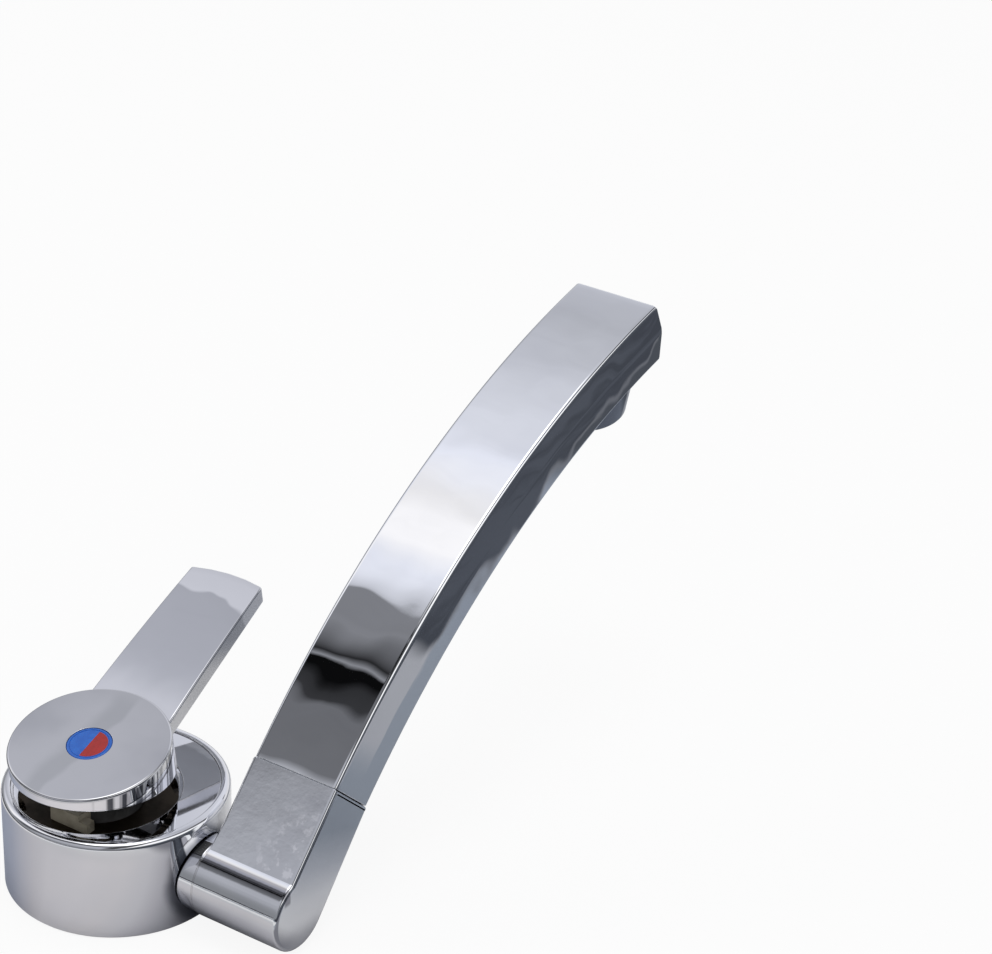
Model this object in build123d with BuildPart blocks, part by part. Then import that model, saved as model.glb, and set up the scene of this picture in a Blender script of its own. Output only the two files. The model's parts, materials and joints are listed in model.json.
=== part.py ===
from build123d import *
import os
from math import acos, atan, atan2, cos, degrees, hypot, radians, sin

# Single-lever caravan mixer tap with a folding spout. Millimetres, +Z up.
# The origin is the centre of the body's underside, where it stands on the worktop.
# +X runs along the spout's axle, away from the body, and the lever and the spout reach over +Y.

os.makedirs("parts", exist_ok=True)

# Clearances that the fits share
running_gap = 0.05
slip_gap = 0.1
free_gap = 0.3

# Body and its cover
body_radius = 25.0
body_height = 24.0
body_floor = 6.0
body_round = 1.4
body_chamfer = 0.4
rim_width = 2.1
cover_thickness = 2.4
cover_drop = 0.4
cover_edge = 0.4
crescent_width = 0.6
cartridge_direction = 235.0
well_step = 0.8

# Shank, clamp and inlet tails under the worktop
worktop_thickness = 20.0
shank_inset = 10.0
shank_length = 45.0
shank_seat = 3.5
shank_chamfer = 1.0
gasket_inset = 2.0
gasket_thickness = 2.0
washer_inset = 1.0
washer_thickness = 1.5
nut_wall = 4.0
nut_height = 8.0
nut_corner = 0.8
tail_radius = 4.5
tail_wall = 1.5
spigot_radius = 4.0
spigot_length = 15.0
tail_length = 80.0
tail_spacing = 12.0
tail_chamfer = 0.4
tail_seal_width = 1.0
tail_seal_height = 1.2
band_height = 4.0
band_wall = 0.8
band_drop = 5.0
base_seal_width = 2.4
base_seal_depth = 1.6
base_seal_inset = 2.6

# Axle of the spout
axle_height = 10.3
axle_radius = 5.0
axle_bore = 3.0
axle_depth = 7.0
axle_wall = 1.4
collar_radius = 8.9
collar_reach = 2.5
thrust_thickness = 0.5
seal_groove = 1.1
seal_width = 1.6
axle_screw_radius = 1.5
axle_screw_tip = 0.9
axle_screw_key = 0.7
axle_screw_setback = 7.2

# Spout
rest_fold = 43.5
spout_width = 22.4
spout_thickness = 15.7
spout_wall = 2.0
barrel_radius = 9.0
seam_height = 26.5
seam_groove = 0.25
spout_lean = 1.25
bend_radius = 232.6
bend_angle = 34.1
tip_bulge = 1.7
side_ridge = 0.2
spout_edge = 0.8
riser_radius = 4.0
tenon_height = 8.0
tube_radius = 3.5
tube_wall = 0.8

# Nozzle
nozzle_setback = 14.6
nozzle_margin = 0.6
nozzle_taper = 2.2
nozzle_height = 7.9
nozzle_edge = 0.5
stub_radius = 5.5
stub_reach = 2.5
aerator_radius = 7.0
aerator_height = 2.8
aerator_recess = 0.7
aerator_hole = 0.5
aerator_inner_ring = 2.25
aerator_outer_ring = 4.35
aerator_seal_height = 1.0
aerator_seal_width = 2.2
union_clearance = 0.7
union_width = 14.0
union_length = 23.0
union_seal_height = 0.8
union_socket = 5.0

# Lever
lever_yaw = 6.2
lever_tilt = 10.4
pivot_height = 20.3
head_inset = 7.1
head_height = 16.0
head_depth = 7.1
head_rim_slope = 13.8
head_wall = 2.0
head_top = 2.6
head_round = 0.6
boss_radius = 6.5
boss_drop = 5.2
arm_length = 57.5
arm_root_half = 10.9
arm_tip_half = 9.4
arm_root_drop = 2.5
arm_tip_rise = 3.1
arm_thickness = 4.2
arm_bow = 0.5
arm_tip_bulge = 1.2
arm_edge = 0.5
chin_length = 5.5
chin_depth = 3.2
chin_inset = 3.0
indicator_radius = 5.0
indicator_thickness = 1.2
red_radius = 4.1
red_thickness = 0.5
screw_radius = 2.0
screw_head_radius = 3.4
screw_head_height = 1.1
screw_length = 7.0
screw_key = 1.2

# Cartridge
chamber_radius = 13.0
housing_radius = 12.0
housing_wall = 2.3
neck_radius = 10.0
flange_inset = 2.5
flange_thickness = 1.4
retaining_nut_height = 2.5
spanner_slot = 3.0
port_seal_height = 0.8
base_thickness = 2.5
fixed_disc_thickness = 2.2
moving_disc_thickness = 1.85
moving_disc_radius = 7.4
carrier_thickness = 2.8
port_radius = 1.9
port_reach = 5.8
port_seal_width = 1.0
rotor_radius = 8.5
rotor_neck = 6.9
rotor_slot = 6.0
rotor_slot_length = 11.2
rotor_neck_height = 1.9
lip_thickness = 1.2
rail_depth = 1.8
rail_width = 1.2
pin_radius = 1.5
stem_thickness = 6.0
ball_radius = 1.8
ball_drop = 4.8
ball_neck = 1.2
blade_drop = 2.6
stop_width = 7.8
stop_offset = 1.2
stop_reach = 12.7
stop_height = 3.7
stop_tab = 2.4

# Places that follow from the sizes above
shank_radius = body_radius - shank_inset
gasket_radius = body_radius - gasket_inset
washer_radius = gasket_radius - washer_inset
nut_flats = 2 * (shank_radius + nut_wall)
head_radius = body_radius - head_inset
recess_radius = body_radius - rim_width
cover_level = body_height - cover_drop - cover_thickness
mouth_radius = head_radius + free_gap + slip_gap
cartridge_offset = recess_radius - mouth_radius - crescent_width
cartridge_x = cartridge_offset * cos(radians(cartridge_direction))
cartridge_y = cartridge_offset * sin(radians(cartridge_direction))
well_radius = mouth_radius - well_step
flange_radius = well_radius - flange_inset
nut_seat = axle_height + axle_radius + running_gap + axle_wall
chamber_mouth_x = cartridge_x + (chamber_radius**2 - cartridge_y**2) ** 0.5
collar_end = body_radius + collar_reach
elbow_start = collar_end + thrust_thickness
elbow_middle = elbow_start + spout_width / 2
axle_tip_x = chamber_mouth_x + axle_wall
axle_end_x = elbow_start + axle_depth
axle_screw_x = body_radius - axle_screw_setback
cold_place = (cartridge_x - tail_spacing / 2, cartridge_y)
hot_place = (cartridge_x + tail_spacing / 2, cartridge_y)
gasket_level = -worktop_thickness - gasket_thickness
washer_level = gasket_level - washer_thickness
nut_level = washer_level - nut_height
base_level = body_floor + port_seal_height
fixed_disc_level = base_level + base_thickness
moving_disc_level = fixed_disc_level + fixed_disc_thickness + running_gap
carrier_level = moving_disc_level + moving_disc_thickness
rotor_level = carrier_level + carrier_thickness + free_gap
rotor_top = pivot_height + pin_radius + free_gap + slip_gap * 3
housing_top = rotor_top + free_gap + lip_thickness
bore_radius = rotor_radius + running_gap
disc_room = housing_radius - housing_wall
flange_top = nut_seat + flange_thickness
retaining_nut_top = flange_top + retaining_nut_height
spout_end = spout_lean + bend_angle
tenon_angle = degrees(tenon_height / bend_radius)
inner_bend = bend_radius - spout_thickness / 2
outer_bend = bend_radius + spout_thickness / 2
bend_start = seam_height - bend_radius * sin(radians(spout_lean))
nozzle_angle = spout_end - degrees(nozzle_setback / inner_bend)
nozzle_base_radius = spout_width / 2 - nozzle_margin

# Directions and planes of the moving groups
spout_up = Vector(0, 0, 1).rotate(Axis.X, -rest_fold)
spout_out = Vector(0, 1, 0).rotate(Axis.X, -rest_fold)
axle_centre = Vector(0, 0, axle_height)
bend_centre = (
    axle_centre
    + spout_out * (bend_radius * cos(radians(spout_lean)))
    + spout_up * bend_start
)
lever_side = Vector(1, 0, 0).rotate(Axis.Z, lever_yaw)
lever_axis = Vector(0, 0, 1).rotate(Axis.X, lever_tilt).rotate(Axis.Z, lever_yaw)
pivot = Vector(cartridge_x, cartridge_y, pivot_height)


def cartridge_plane(height):
    # Level plane on the cartridge's axis, turned with the lever
    return Plane((cartridge_x, cartridge_y, height), x_dir=lever_side, z_dir=(0, 0, 1))


def lever_plane(height):
    # Plane square to the lever head's axis, at a height above the pivot
    return Plane(pivot + lever_axis * height, x_dir=lever_side, z_dir=lever_axis)


def lever_section():
    # Upright plane through the lever: x towards the arm's tip, y along the head's axis
    forward = lever_axis.cross(lever_side)
    return Plane(pivot, x_dir=forward, z_dir=lever_side)


def axle_plane(x):
    # Plane square to the axle: x out of the spout's hollow side, y up along its elbow
    return Plane(axle_centre + Vector(x, 0, 0), x_dir=spout_out, z_dir=(1, 0, 0))


def bend_plane(angle):
    # Plane that cuts the bent spout square, with its origin on the bend's axis
    outward = (-spout_out).rotate(Axis.X, -angle)
    centre = bend_centre + Vector(elbow_middle, 0, 0)
    return Plane(centre, x_dir=outward, z_dir=outward.cross(Vector(1, 0, 0)))


def bend_axis():
    return Axis(bend_centre, (-1, 0, 0))


def nozzle_plane(height):
    # Plane square to the nozzle, at a height out of the spout's hollow side
    inward = spout_out.rotate(Axis.X, -nozzle_angle)
    base = bend_centre + Vector(elbow_middle, 0, 0) - inward * inner_bend
    return Plane(base + inward * height, x_dir=(1, 0, 0), z_dir=inward)


# Body: a turned cup with a rounded rim, bored for the cartridge and for the spout's axle
with BuildPart() as body_shell:
    with BuildSketch(Plane.XY):
        Circle(body_radius)
    extrude(amount=body_height)
    fillet(body_shell.faces().sort_by(Axis.Z)[-1].edges(), body_round)
    chamfer(body_shell.faces().sort_by(Axis.Z)[0].edges(), body_chamfer)
    with BuildSketch(Plane.XY.offset(cover_level)):
        Circle(recess_radius)
    extrude(amount=body_height - cover_level, mode=Mode.SUBTRACT)
    with BuildSketch(cartridge_plane(nut_seat)):
        Circle(well_radius)
    extrude(amount=cover_level - nut_seat, mode=Mode.SUBTRACT)
    with BuildSketch(cartridge_plane(body_floor)):
        Circle(chamber_radius)
    extrude(amount=nut_seat - body_floor, mode=Mode.SUBTRACT)
    with BuildSketch(axle_plane(chamber_mouth_x - axle_wall)):
        Circle(axle_radius + running_gap)
    extrude(amount=body_radius - chamber_mouth_x + 2 * axle_wall, mode=Mode.SUBTRACT)
    with BuildSketch(Plane.XY):
        Circle(shank_radius + running_gap)
    extrude(amount=shank_seat, mode=Mode.SUBTRACT)
    with BuildSketch(Plane.XY):
        Circle(body_radius - base_seal_inset)
        Circle(body_radius - base_seal_inset - base_seal_width, mode=Mode.SUBTRACT)
    extrude(amount=base_seal_depth, mode=Mode.SUBTRACT)
    with BuildSketch(Plane.XY.offset(shank_seat)):
        with Locations(cold_place, hot_place):
            Circle(tail_radius - tail_wall)
    extrude(amount=body_floor - shank_seat, mode=Mode.SUBTRACT)
    with BuildSketch(Plane.XY):
        with Locations((axle_screw_x, 0)):
            Circle(axle_screw_radius)
    extrude(amount=axle_height, mode=Mode.SUBTRACT)
body_shell.part.label = "body_shell"
export_step(body_shell.part, "parts/body_shell.step")

# Cover: the recessed top plate, whose off-centre mouth almost meets the rim
with BuildPart() as cover_plate:
    with BuildSketch(Plane.XY.offset(cover_level)):
        Circle(recess_radius - running_gap)
        with Locations((cartridge_x, cartridge_y)):
            Circle(mouth_radius, mode=Mode.SUBTRACT)
    extrude(amount=cover_thickness)
    top_edges = cover_plate.edges().filter_by(GeomType.CIRCLE).group_by(Axis.Z)[-1]
    chamfer(top_edges.sort_by(SortBy.RADIUS)[0], cover_edge)
cover_plate.part.label = "cover_plate"
export_step(cover_plate.part, "parts/cover_plate.step")

base_seal_outer = body_radius - base_seal_inset - slip_gap
base_seal_inner = body_radius - base_seal_inset - base_seal_width + slip_gap
with BuildPart() as base_seal:
    with BuildSketch(Plane.XY):
        Circle(base_seal_outer)
        Circle(base_seal_inner, mode=Mode.SUBTRACT)
    extrude(amount=base_seal_depth)
base_seal.part.label = "base_seal"
export_step(base_seal.part, "parts/base_seal.step")

# Shank: moulded stud screwed into the underside, with a passage for each tail
with BuildPart() as mounting_shank:
    with BuildSketch(Plane.XY.offset(-shank_length)):
        Circle(shank_radius)
        with Locations(cold_place, hot_place):
            Circle(tail_radius + slip_gap, mode=Mode.SUBTRACT)
    extrude(amount=shank_length + shank_seat)
    chamfer(mounting_shank.faces().sort_by(Axis.Z)[0].outer_wire().edges(), shank_chamfer)
    with BuildSketch(Plane.XY.offset(shank_seat - tail_seal_height)):
        with Locations(cold_place, hot_place):
            Circle(tail_radius + tail_seal_width)
    extrude(amount=tail_seal_height, mode=Mode.SUBTRACT)
mounting_shank.part.label = "mounting_shank"
export_step(mounting_shank.part, "parts/mounting_shank.step")

clamp_bore = shank_radius + free_gap
with BuildPart() as clamp_gasket:
    with BuildSketch(Plane.XY.offset(gasket_level)):
        Circle(gasket_radius)
        Circle(clamp_bore, mode=Mode.SUBTRACT)
    extrude(amount=gasket_thickness)
clamp_gasket.part.label = "clamp_gasket"
export_step(clamp_gasket.part, "parts/clamp_gasket.step")

with BuildPart() as clamp_washer:
    with BuildSketch(Plane.XY.offset(washer_level)):
        Circle(washer_radius)
        Circle(clamp_bore, mode=Mode.SUBTRACT)
    extrude(amount=washer_thickness)
clamp_washer.part.label = "clamp_washer"
export_step(clamp_washer.part, "parts/clamp_washer.step")

with BuildPart() as mounting_nut:
    with BuildSketch(Plane.XY.offset(nut_level)):
        RegularPolygon(nut_flats / 2, 6, major_radius=False)
        Circle(shank_radius + running_gap, mode=Mode.SUBTRACT)
    extrude(amount=nut_height)
    with BuildSketch(Plane.XY.offset(nut_level)):
        Circle(nut_flats / 2 / cos(radians(30)) - nut_corner)
    extrude(amount=nut_height, mode=Mode.INTERSECT)
mounting_nut.part.label = "mounting_nut"
export_step(mounting_nut.part, "parts/mounting_nut.step")

# Tails: hot on the red side (+X), cold on the blue side (-X), each with its colour band
band_level = -shank_length - band_drop - band_height
with BuildPart() as cold_tail:
    with BuildSketch(Plane.XY.offset(shank_seat)):
        with Locations(cold_place):
            Circle(tail_radius)
            Circle(tail_radius - tail_wall, mode=Mode.SUBTRACT)
    extrude(amount=-tail_length - shank_seat)
    with BuildSketch(Plane.XY.offset(-tail_length)):
        with Locations(cold_place):
            Circle(tail_radius)
            Circle(spigot_radius, mode=Mode.SUBTRACT)
    extrude(amount=spigot_length, mode=Mode.SUBTRACT)
    chamfer(cold_tail.faces().sort_by(Axis.Z)[0].outer_wire().edges(), tail_chamfer)
cold_tail.part.label = "cold_tail"
export_step(cold_tail.part, "parts/cold_tail.step")

with BuildPart() as cold_band:
    with BuildSketch(Plane.XY.offset(band_level)):
        with Locations(cold_place):
            Circle(tail_radius + band_wall)
            Circle(tail_radius, mode=Mode.SUBTRACT)
    extrude(amount=band_height)
cold_band.part.label = "cold_band"
export_step(cold_band.part, "parts/cold_band.step")

with BuildPart() as hot_tail:
    with BuildSketch(Plane.XY.offset(shank_seat)):
        with Locations(hot_place):
            Circle(tail_radius)
            Circle(tail_radius - tail_wall, mode=Mode.SUBTRACT)
    extrude(amount=-tail_length - shank_seat)
    with BuildSketch(Plane.XY.offset(-tail_length)):
        with Locations(hot_place):
            Circle(tail_radius)
            Circle(spigot_radius, mode=Mode.SUBTRACT)
    extrude(amount=spigot_length, mode=Mode.SUBTRACT)
    chamfer(hot_tail.faces().sort_by(Axis.Z)[0].outer_wire().edges(), tail_chamfer)
hot_tail.part.label = "hot_tail"
export_step(hot_tail.part, "parts/hot_tail.step")

with BuildPart() as hot_band:
    with BuildSketch(Plane.XY.offset(band_level)):
        with Locations(hot_place):
            Circle(tail_radius + band_wall)
            Circle(tail_radius, mode=Mode.SUBTRACT)
    extrude(amount=band_height)
hot_band.part.label = "hot_band"
export_step(hot_band.part, "parts/hot_band.step")

with BuildPart() as tail_seals:
    with BuildSketch(Plane.XY.offset(shank_seat - tail_seal_height)):
        with Locations(cold_place, hot_place):
            Circle(tail_radius + tail_seal_width)
            Circle(tail_radius, mode=Mode.SUBTRACT)
    extrude(amount=tail_seal_height)
tail_seals.part.label = "tail_seals"
export_step(tail_seals.part, "parts/tail_seals.step")

# Cartridge, from its seat upwards
with BuildPart() as port_seals:
    with BuildSketch(Plane.XY.offset(body_floor)):
        with Locations(cold_place, hot_place):
            Circle(tail_radius - tail_wall + port_seal_width)
            Circle(tail_radius - tail_wall, mode=Mode.SUBTRACT)
    extrude(amount=port_seal_height)
port_seals.part.label = "port_seals"
export_step(port_seals.part, "parts/port_seals.step")

port_places = [
    (cartridge_x - port_reach, cartridge_y),
    (cartridge_x + port_reach, cartridge_y),
    (cartridge_x, cartridge_y + port_reach),
]
with BuildPart() as cartridge_base:
    with BuildSketch(Plane.XY.offset(base_level)):
        with Locations((cartridge_x, cartridge_y)):
            Circle(housing_radius)
        with Locations(*port_places):
            Circle(port_radius, mode=Mode.SUBTRACT)
    extrude(amount=base_thickness)
cartridge_base.part.label = "cartridge_base"
export_step(cartridge_base.part, "parts/cartridge_base.step")

with BuildPart() as fixed_disc:
    with BuildSketch(Plane.XY.offset(fixed_disc_level)):
        with Locations((cartridge_x, cartridge_y)):
            Circle(disc_room - slip_gap)
        with Locations(*port_places):
            Circle(port_radius, mode=Mode.SUBTRACT)
    extrude(amount=fixed_disc_thickness)
fixed_disc.part.label = "fixed_disc"
export_step(fixed_disc.part, "parts/fixed_disc.step")

with BuildPart() as cartridge_housing:
    with BuildSketch(cartridge_plane(fixed_disc_level)):
        Circle(housing_radius)
    extrude(amount=nut_seat - fixed_disc_level)
    with BuildSketch(cartridge_plane(nut_seat)):
        Circle(flange_radius)
    extrude(amount=flange_thickness)
    with BuildSketch(cartridge_plane(flange_top)):
        Circle(neck_radius)
    extrude(amount=housing_top - flange_top)
    with BuildSketch(cartridge_plane(fixed_disc_level)):
        Circle(disc_room)
    extrude(amount=rotor_level - slip_gap - fixed_disc_level, mode=Mode.SUBTRACT)
    with BuildSketch(cartridge_plane(fixed_disc_level)):
        Circle(bore_radius)
    extrude(amount=rotor_top + free_gap - fixed_disc_level, mode=Mode.SUBTRACT)
    with BuildSketch(cartridge_plane(fixed_disc_level)):
        Circle(rotor_neck + free_gap)
    extrude(amount=housing_top - fixed_disc_level, mode=Mode.SUBTRACT)
cartridge_housing.part.label = "cartridge_housing"
export_step(cartridge_housing.part, "parts/cartridge_housing.step")

housing_seal_height = axle_wall - 2 * slip_gap
housing_seal_plane = cartridge_plane(nut_seat - slip_gap - housing_seal_height)
with BuildPart() as housing_seal:
    with BuildSketch(housing_seal_plane):
        Circle(chamber_radius)
        Circle(housing_radius, mode=Mode.SUBTRACT)
    extrude(amount=housing_seal_height)
housing_seal.part.label = "housing_seal"
export_step(housing_seal.part, "parts/housing_seal.step")

with BuildPart() as retaining_nut:
    with BuildSketch(cartridge_plane(flange_top)):
        Circle(well_radius - slip_gap)
        Circle(neck_radius + free_gap, mode=Mode.SUBTRACT)
    extrude(amount=retaining_nut_height)
    with BuildSketch(cartridge_plane(retaining_nut_top - retaining_nut_height / 2)):
        with PolarLocations(well_radius, 4, start_angle=45):
            Rectangle(spanner_slot, spanner_slot)
    extrude(amount=retaining_nut_height / 2, mode=Mode.SUBTRACT)
retaining_nut.part.label = "retaining_nut"
export_step(retaining_nut.part, "parts/retaining_nut.step")

# Limit stop: moulded block clipped round the neck, seen under the back of the lever head
with BuildPart() as limit_stop:
    with BuildSketch(Plane((cartridge_x, cartridge_y, retaining_nut_top))):
        with Locations((stop_offset, -stop_reach / 2)):
            Rectangle(stop_width, stop_reach)
        Circle(neck_radius + running_gap, mode=Mode.SUBTRACT)
    extrude(amount=stop_height)
    with BuildSketch(Plane((cartridge_x, cartridge_y, retaining_nut_top))):
        with Locations((stop_offset + stop_width / 2 + stop_tab / 2, stop_tab / 2 - stop_reach)):
            Rectangle(stop_tab, stop_tab)
    extrude(amount=stop_tab)
limit_stop.part.label = "limit_stop"
export_step(limit_stop.part, "parts/limit_stop.step")

# Rotor: turns in the housing, keys the disc carrier and carries the lever's pivot pin
with BuildPart() as rotor:
    with BuildSketch(cartridge_plane(rotor_level)):
        Circle(rotor_radius)
    extrude(amount=rotor_top - rotor_level)
    with BuildSketch(cartridge_plane(rotor_top)):
        Circle(rotor_neck)
    extrude(amount=rotor_neck_height)
    with BuildSketch(cartridge_plane(rotor_level)):
        with Locations((rotor_radius - rail_width, 0), (-rotor_radius + rail_width, 0)):
            Rectangle(rail_width, rotor_slot)
    extrude(amount=-rail_depth)
    with BuildSketch(cartridge_plane(rotor_level)):
        Rectangle(rotor_slot, rotor_slot_length)
    extrude(amount=rotor_top + rotor_neck_height - rotor_level, mode=Mode.SUBTRACT)
    with BuildSketch(Plane(pivot, x_dir=(0, 0, 1), z_dir=lever_side)):
        Circle(pin_radius)
    extrude(amount=rotor_radius, both=True, mode=Mode.SUBTRACT)
rotor.part.label = "rotor"
export_step(rotor.part, "parts/rotor.step")

with BuildPart() as pivot_pin:
    with BuildSketch(Plane(pivot, x_dir=(0, 0, 1), z_dir=lever_side)):
        Circle(pin_radius)
    extrude(amount=rotor_radius - free_gap, both=True)
pivot_pin.part.label = "pivot_pin"
export_step(pivot_pin.part, "parts/pivot_pin.step")

# Carrier and moving disc: slide as one under the rotor, driven by the spindle's ball
ball_offset = ball_drop * sin(radians(lever_tilt))
with BuildPart() as disc_carrier:
    with BuildSketch(cartridge_plane(carrier_level)):
        Circle(moving_disc_radius)
        rail_face = rotor_radius - rail_width - rail_width / 2 - free_gap
        Rectangle(2 * rail_face, 2 * moving_disc_radius, mode=Mode.INTERSECT)
        with Locations((0, ball_offset)):
            Circle(ball_radius + free_gap, mode=Mode.SUBTRACT)
    extrude(amount=carrier_thickness)
disc_carrier.part.label = "disc_carrier"
export_step(disc_carrier.part, "parts/disc_carrier.step")

with BuildPart() as moving_disc:
    with BuildSketch(cartridge_plane(moving_disc_level)):
        Circle(moving_disc_radius)
    extrude(amount=moving_disc_thickness)
    with BuildSketch(cartridge_plane(moving_disc_level)):
        SlotCenterToCenter(2 * port_radius, 2 * port_radius)
    extrude(amount=moving_disc_thickness / 2, mode=Mode.SUBTRACT)
moving_disc.part.label = "moving_disc"
export_step(moving_disc.part, "parts/moving_disc.step")

# Spindle: square stem above the pivot, blade in the rotor's slot, ball below
socket_top = head_height - head_top - head_round
with BuildPart() as spindle:
    with BuildSketch(lever_plane(-blade_drop)):
        Rectangle(rotor_slot - 2 * free_gap, stem_thickness)
    extrude(amount=socket_top - slip_gap + blade_drop)
    with BuildSketch(lever_plane(-ball_drop)):
        Circle(ball_neck)
    extrude(amount=ball_drop)
    with Locations(Location(lever_plane(-ball_drop))):
        Sphere(ball_radius)
    with BuildSketch(Plane(pivot, x_dir=(0, 0, 1), z_dir=lever_side)):
        Circle(pin_radius + running_gap)
    extrude(amount=rotor_slot, both=True, mode=Mode.SUBTRACT)
    with BuildSketch(lever_plane(socket_top)):
        Circle(screw_radius)
    extrude(amount=-screw_length, mode=Mode.SUBTRACT)
spindle.part.label = "spindle"
export_step(spindle.part, "parts/spindle.step")

# Lever: thin disc head with a sloping skirt, and a flat, slightly bowed arm below its top
arm_root = (head_radius**2 - arm_root_half**2) ** 0.5
arm_slope = (arm_tip_rise + arm_root_drop) / (arm_length - arm_root)
arm_inner = arm_root - head_wall
arm_tip = arm_length + arm_tip_bulge


def arm_top(reach):
    return head_height - arm_root_drop + arm_slope * (reach - arm_root)


def arm_bottom(reach):
    return arm_top(reach) - arm_thickness


with BuildPart() as lever_arm:
    with BuildSketch(lever_plane(0)):
        with BuildLine():
            Line((-arm_tip_half, arm_length), (-arm_root_half, arm_inner))
            Line((-arm_root_half, arm_inner), (arm_root_half, arm_inner))
            Line((arm_root_half, arm_inner), (arm_tip_half, arm_length))
            ThreePointArc((arm_tip_half, arm_length), (0, arm_tip), (-arm_tip_half, arm_length))
        make_face()
    extrude(amount=2 * head_height)
    arm_end = arm_tip + arm_tip_bulge
    arm_middle = (arm_inner + arm_end) / 2
    with BuildSketch(lever_section()):
        with BuildLine():
            ThreePointArc(
                (arm_inner, arm_top(arm_inner)),
                (arm_middle, arm_top(arm_middle) + arm_bow),
                (arm_end, arm_top(arm_end)),
            )
            Line((arm_end, arm_top(arm_end)), (arm_end, arm_bottom(arm_end)))
            Line((arm_end, arm_bottom(arm_end)), (arm_inner, arm_bottom(arm_inner)))
            Line((arm_inner, arm_bottom(arm_inner)), (arm_inner, arm_top(arm_inner)))
        make_face()
    extrude(amount=2 * arm_root_half, both=True, mode=Mode.INTERSECT)
    free_edges = lever_arm.edges().filter_by(
        lambda edge: lever_section().to_local_coords(edge.center()).X > arm_root
    )
    fillet(free_edges, arm_edge)
    chin_start = head_radius + chin_length
    chin_level = arm_bottom(arm_root) - chin_depth
    with BuildSketch(lever_section()):
        with BuildLine():
            Line((arm_inner, arm_bottom(arm_inner) + arm_edge), (chin_start, arm_bottom(chin_start) + arm_edge))
            Line((chin_start, arm_bottom(chin_start) + arm_edge), (chin_start, arm_bottom(chin_start)))
            Line((chin_start, arm_bottom(chin_start)), (arm_root, chin_level))
            Line((arm_root, chin_level), (arm_inner, chin_level))
            Line((arm_inner, chin_level), (arm_inner, arm_bottom(arm_inner) + arm_edge))
        make_face()
    extrude(amount=arm_root_half - chin_inset, both=True)

rim_centre = pivot + lever_axis * (head_height - head_depth)
rim_normal = lever_axis.rotate(Axis(pivot, lever_side), -head_rim_slope)
with BuildPart() as lever_head:
    with BuildSketch(lever_plane(0)):
        Circle(head_radius)
    extrude(amount=head_height)
    split(bisect_by=Plane(rim_centre, z_dir=rim_normal), keep=Keep.TOP)
    fillet(lever_head.faces().sort_by(Axis(pivot, lever_axis))[-1].edges(), head_round)
    add(lever_arm.part)
    with BuildSketch(lever_plane(0)):
        Circle(head_radius - head_wall)
    extrude(amount=head_height - head_top, mode=Mode.SUBTRACT)
    with BuildSketch(lever_plane(head_height - head_top)):
        Circle(boss_radius)
    extrude(amount=-boss_drop)
    with BuildSketch(lever_plane(head_height - head_top - boss_drop)):
        Rectangle(rotor_slot - 2 * free_gap + slip_gap, stem_thickness + slip_gap)
    extrude(amount=socket_top - (head_height - head_top - boss_drop), mode=Mode.SUBTRACT)
    with BuildSketch(lever_plane(head_height - indicator_thickness)):
        Circle(indicator_radius + running_gap)
    extrude(amount=indicator_thickness, mode=Mode.SUBTRACT)
    with BuildSketch(lever_plane(head_height - indicator_thickness)):
        Circle(screw_head_radius + slip_gap)
    extrude(amount=-screw_head_height, mode=Mode.SUBTRACT)
    with BuildSketch(lever_plane(head_height - indicator_thickness)):
        Circle(screw_radius + slip_gap)
    extrude(amount=-head_height / 2, mode=Mode.SUBTRACT)
lever_head.part.label = "lever_head"
export_step(lever_head.part, "parts/lever_head.step")

screw_seat = head_height - indicator_thickness - screw_head_height
with BuildPart() as lever_screw:
    with BuildSketch(lever_plane(screw_seat)):
        Circle(screw_head_radius)
    extrude(amount=screw_head_height)
    with BuildSketch(lever_plane(screw_seat)):
        Circle(screw_radius)
    extrude(amount=-(screw_seat - socket_top) - screw_length + slip_gap * 3)
    with BuildSketch(lever_plane(screw_seat + screw_head_height)):
        RegularPolygon(screw_key, 6)
    extrude(amount=-screw_head_height / 2, mode=Mode.SUBTRACT)
lever_screw.part.label = "lever_screw"
export_step(lever_screw.part, "parts/lever_screw.step")

with BuildPart() as indicator_blue:
    with BuildSketch(lever_plane(head_height - indicator_thickness)):
        Circle(indicator_radius)
    extrude(amount=indicator_thickness)
    with BuildSketch(lever_plane(head_height)):
        Circle(red_radius + running_gap)
        with Locations((-red_radius, 0)):
            Rectangle(2 * red_radius, 3 * red_radius, mode=Mode.SUBTRACT)
    extrude(amount=-red_thickness, mode=Mode.SUBTRACT)
indicator_blue.part.label = "indicator_blue"
export_step(indicator_blue.part, "parts/indicator_blue.step")

with BuildPart() as indicator_red:
    with BuildSketch(lever_plane(head_height)):
        Circle(red_radius)
        with Locations((-red_radius + running_gap, 0)):
            Rectangle(2 * red_radius, 3 * red_radius, mode=Mode.SUBTRACT)
    extrude(amount=-red_thickness)
indicator_red.part.label = "indicator_red"
export_step(indicator_red.part, "parts/indicator_red.step")

# Collar: chromed sleeve saddled on the body's side, round the axle
with BuildPart() as axle_collar:
    with BuildSketch(axle_plane(body_radius - collar_radius)):
        Circle(collar_radius)
        Circle(axle_radius + free_gap, mode=Mode.SUBTRACT)
    extrude(amount=collar_end - body_radius + collar_radius)
    Cylinder(body_radius, 4 * body_height, mode=Mode.SUBTRACT)
axle_collar.part.label = "axle_collar"
export_step(axle_collar.part, "parts/axle_collar.step")

with BuildPart() as thrust_washer:
    with BuildSketch(axle_plane(collar_end)):
        Circle(collar_radius - free_gap)
        Circle(axle_radius + slip_gap, mode=Mode.SUBTRACT)
    extrude(amount=thrust_thickness - running_gap)
thrust_washer.part.label = "thrust_washer"
export_step(thrust_washer.part, "parts/thrust_washer.step")

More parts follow.
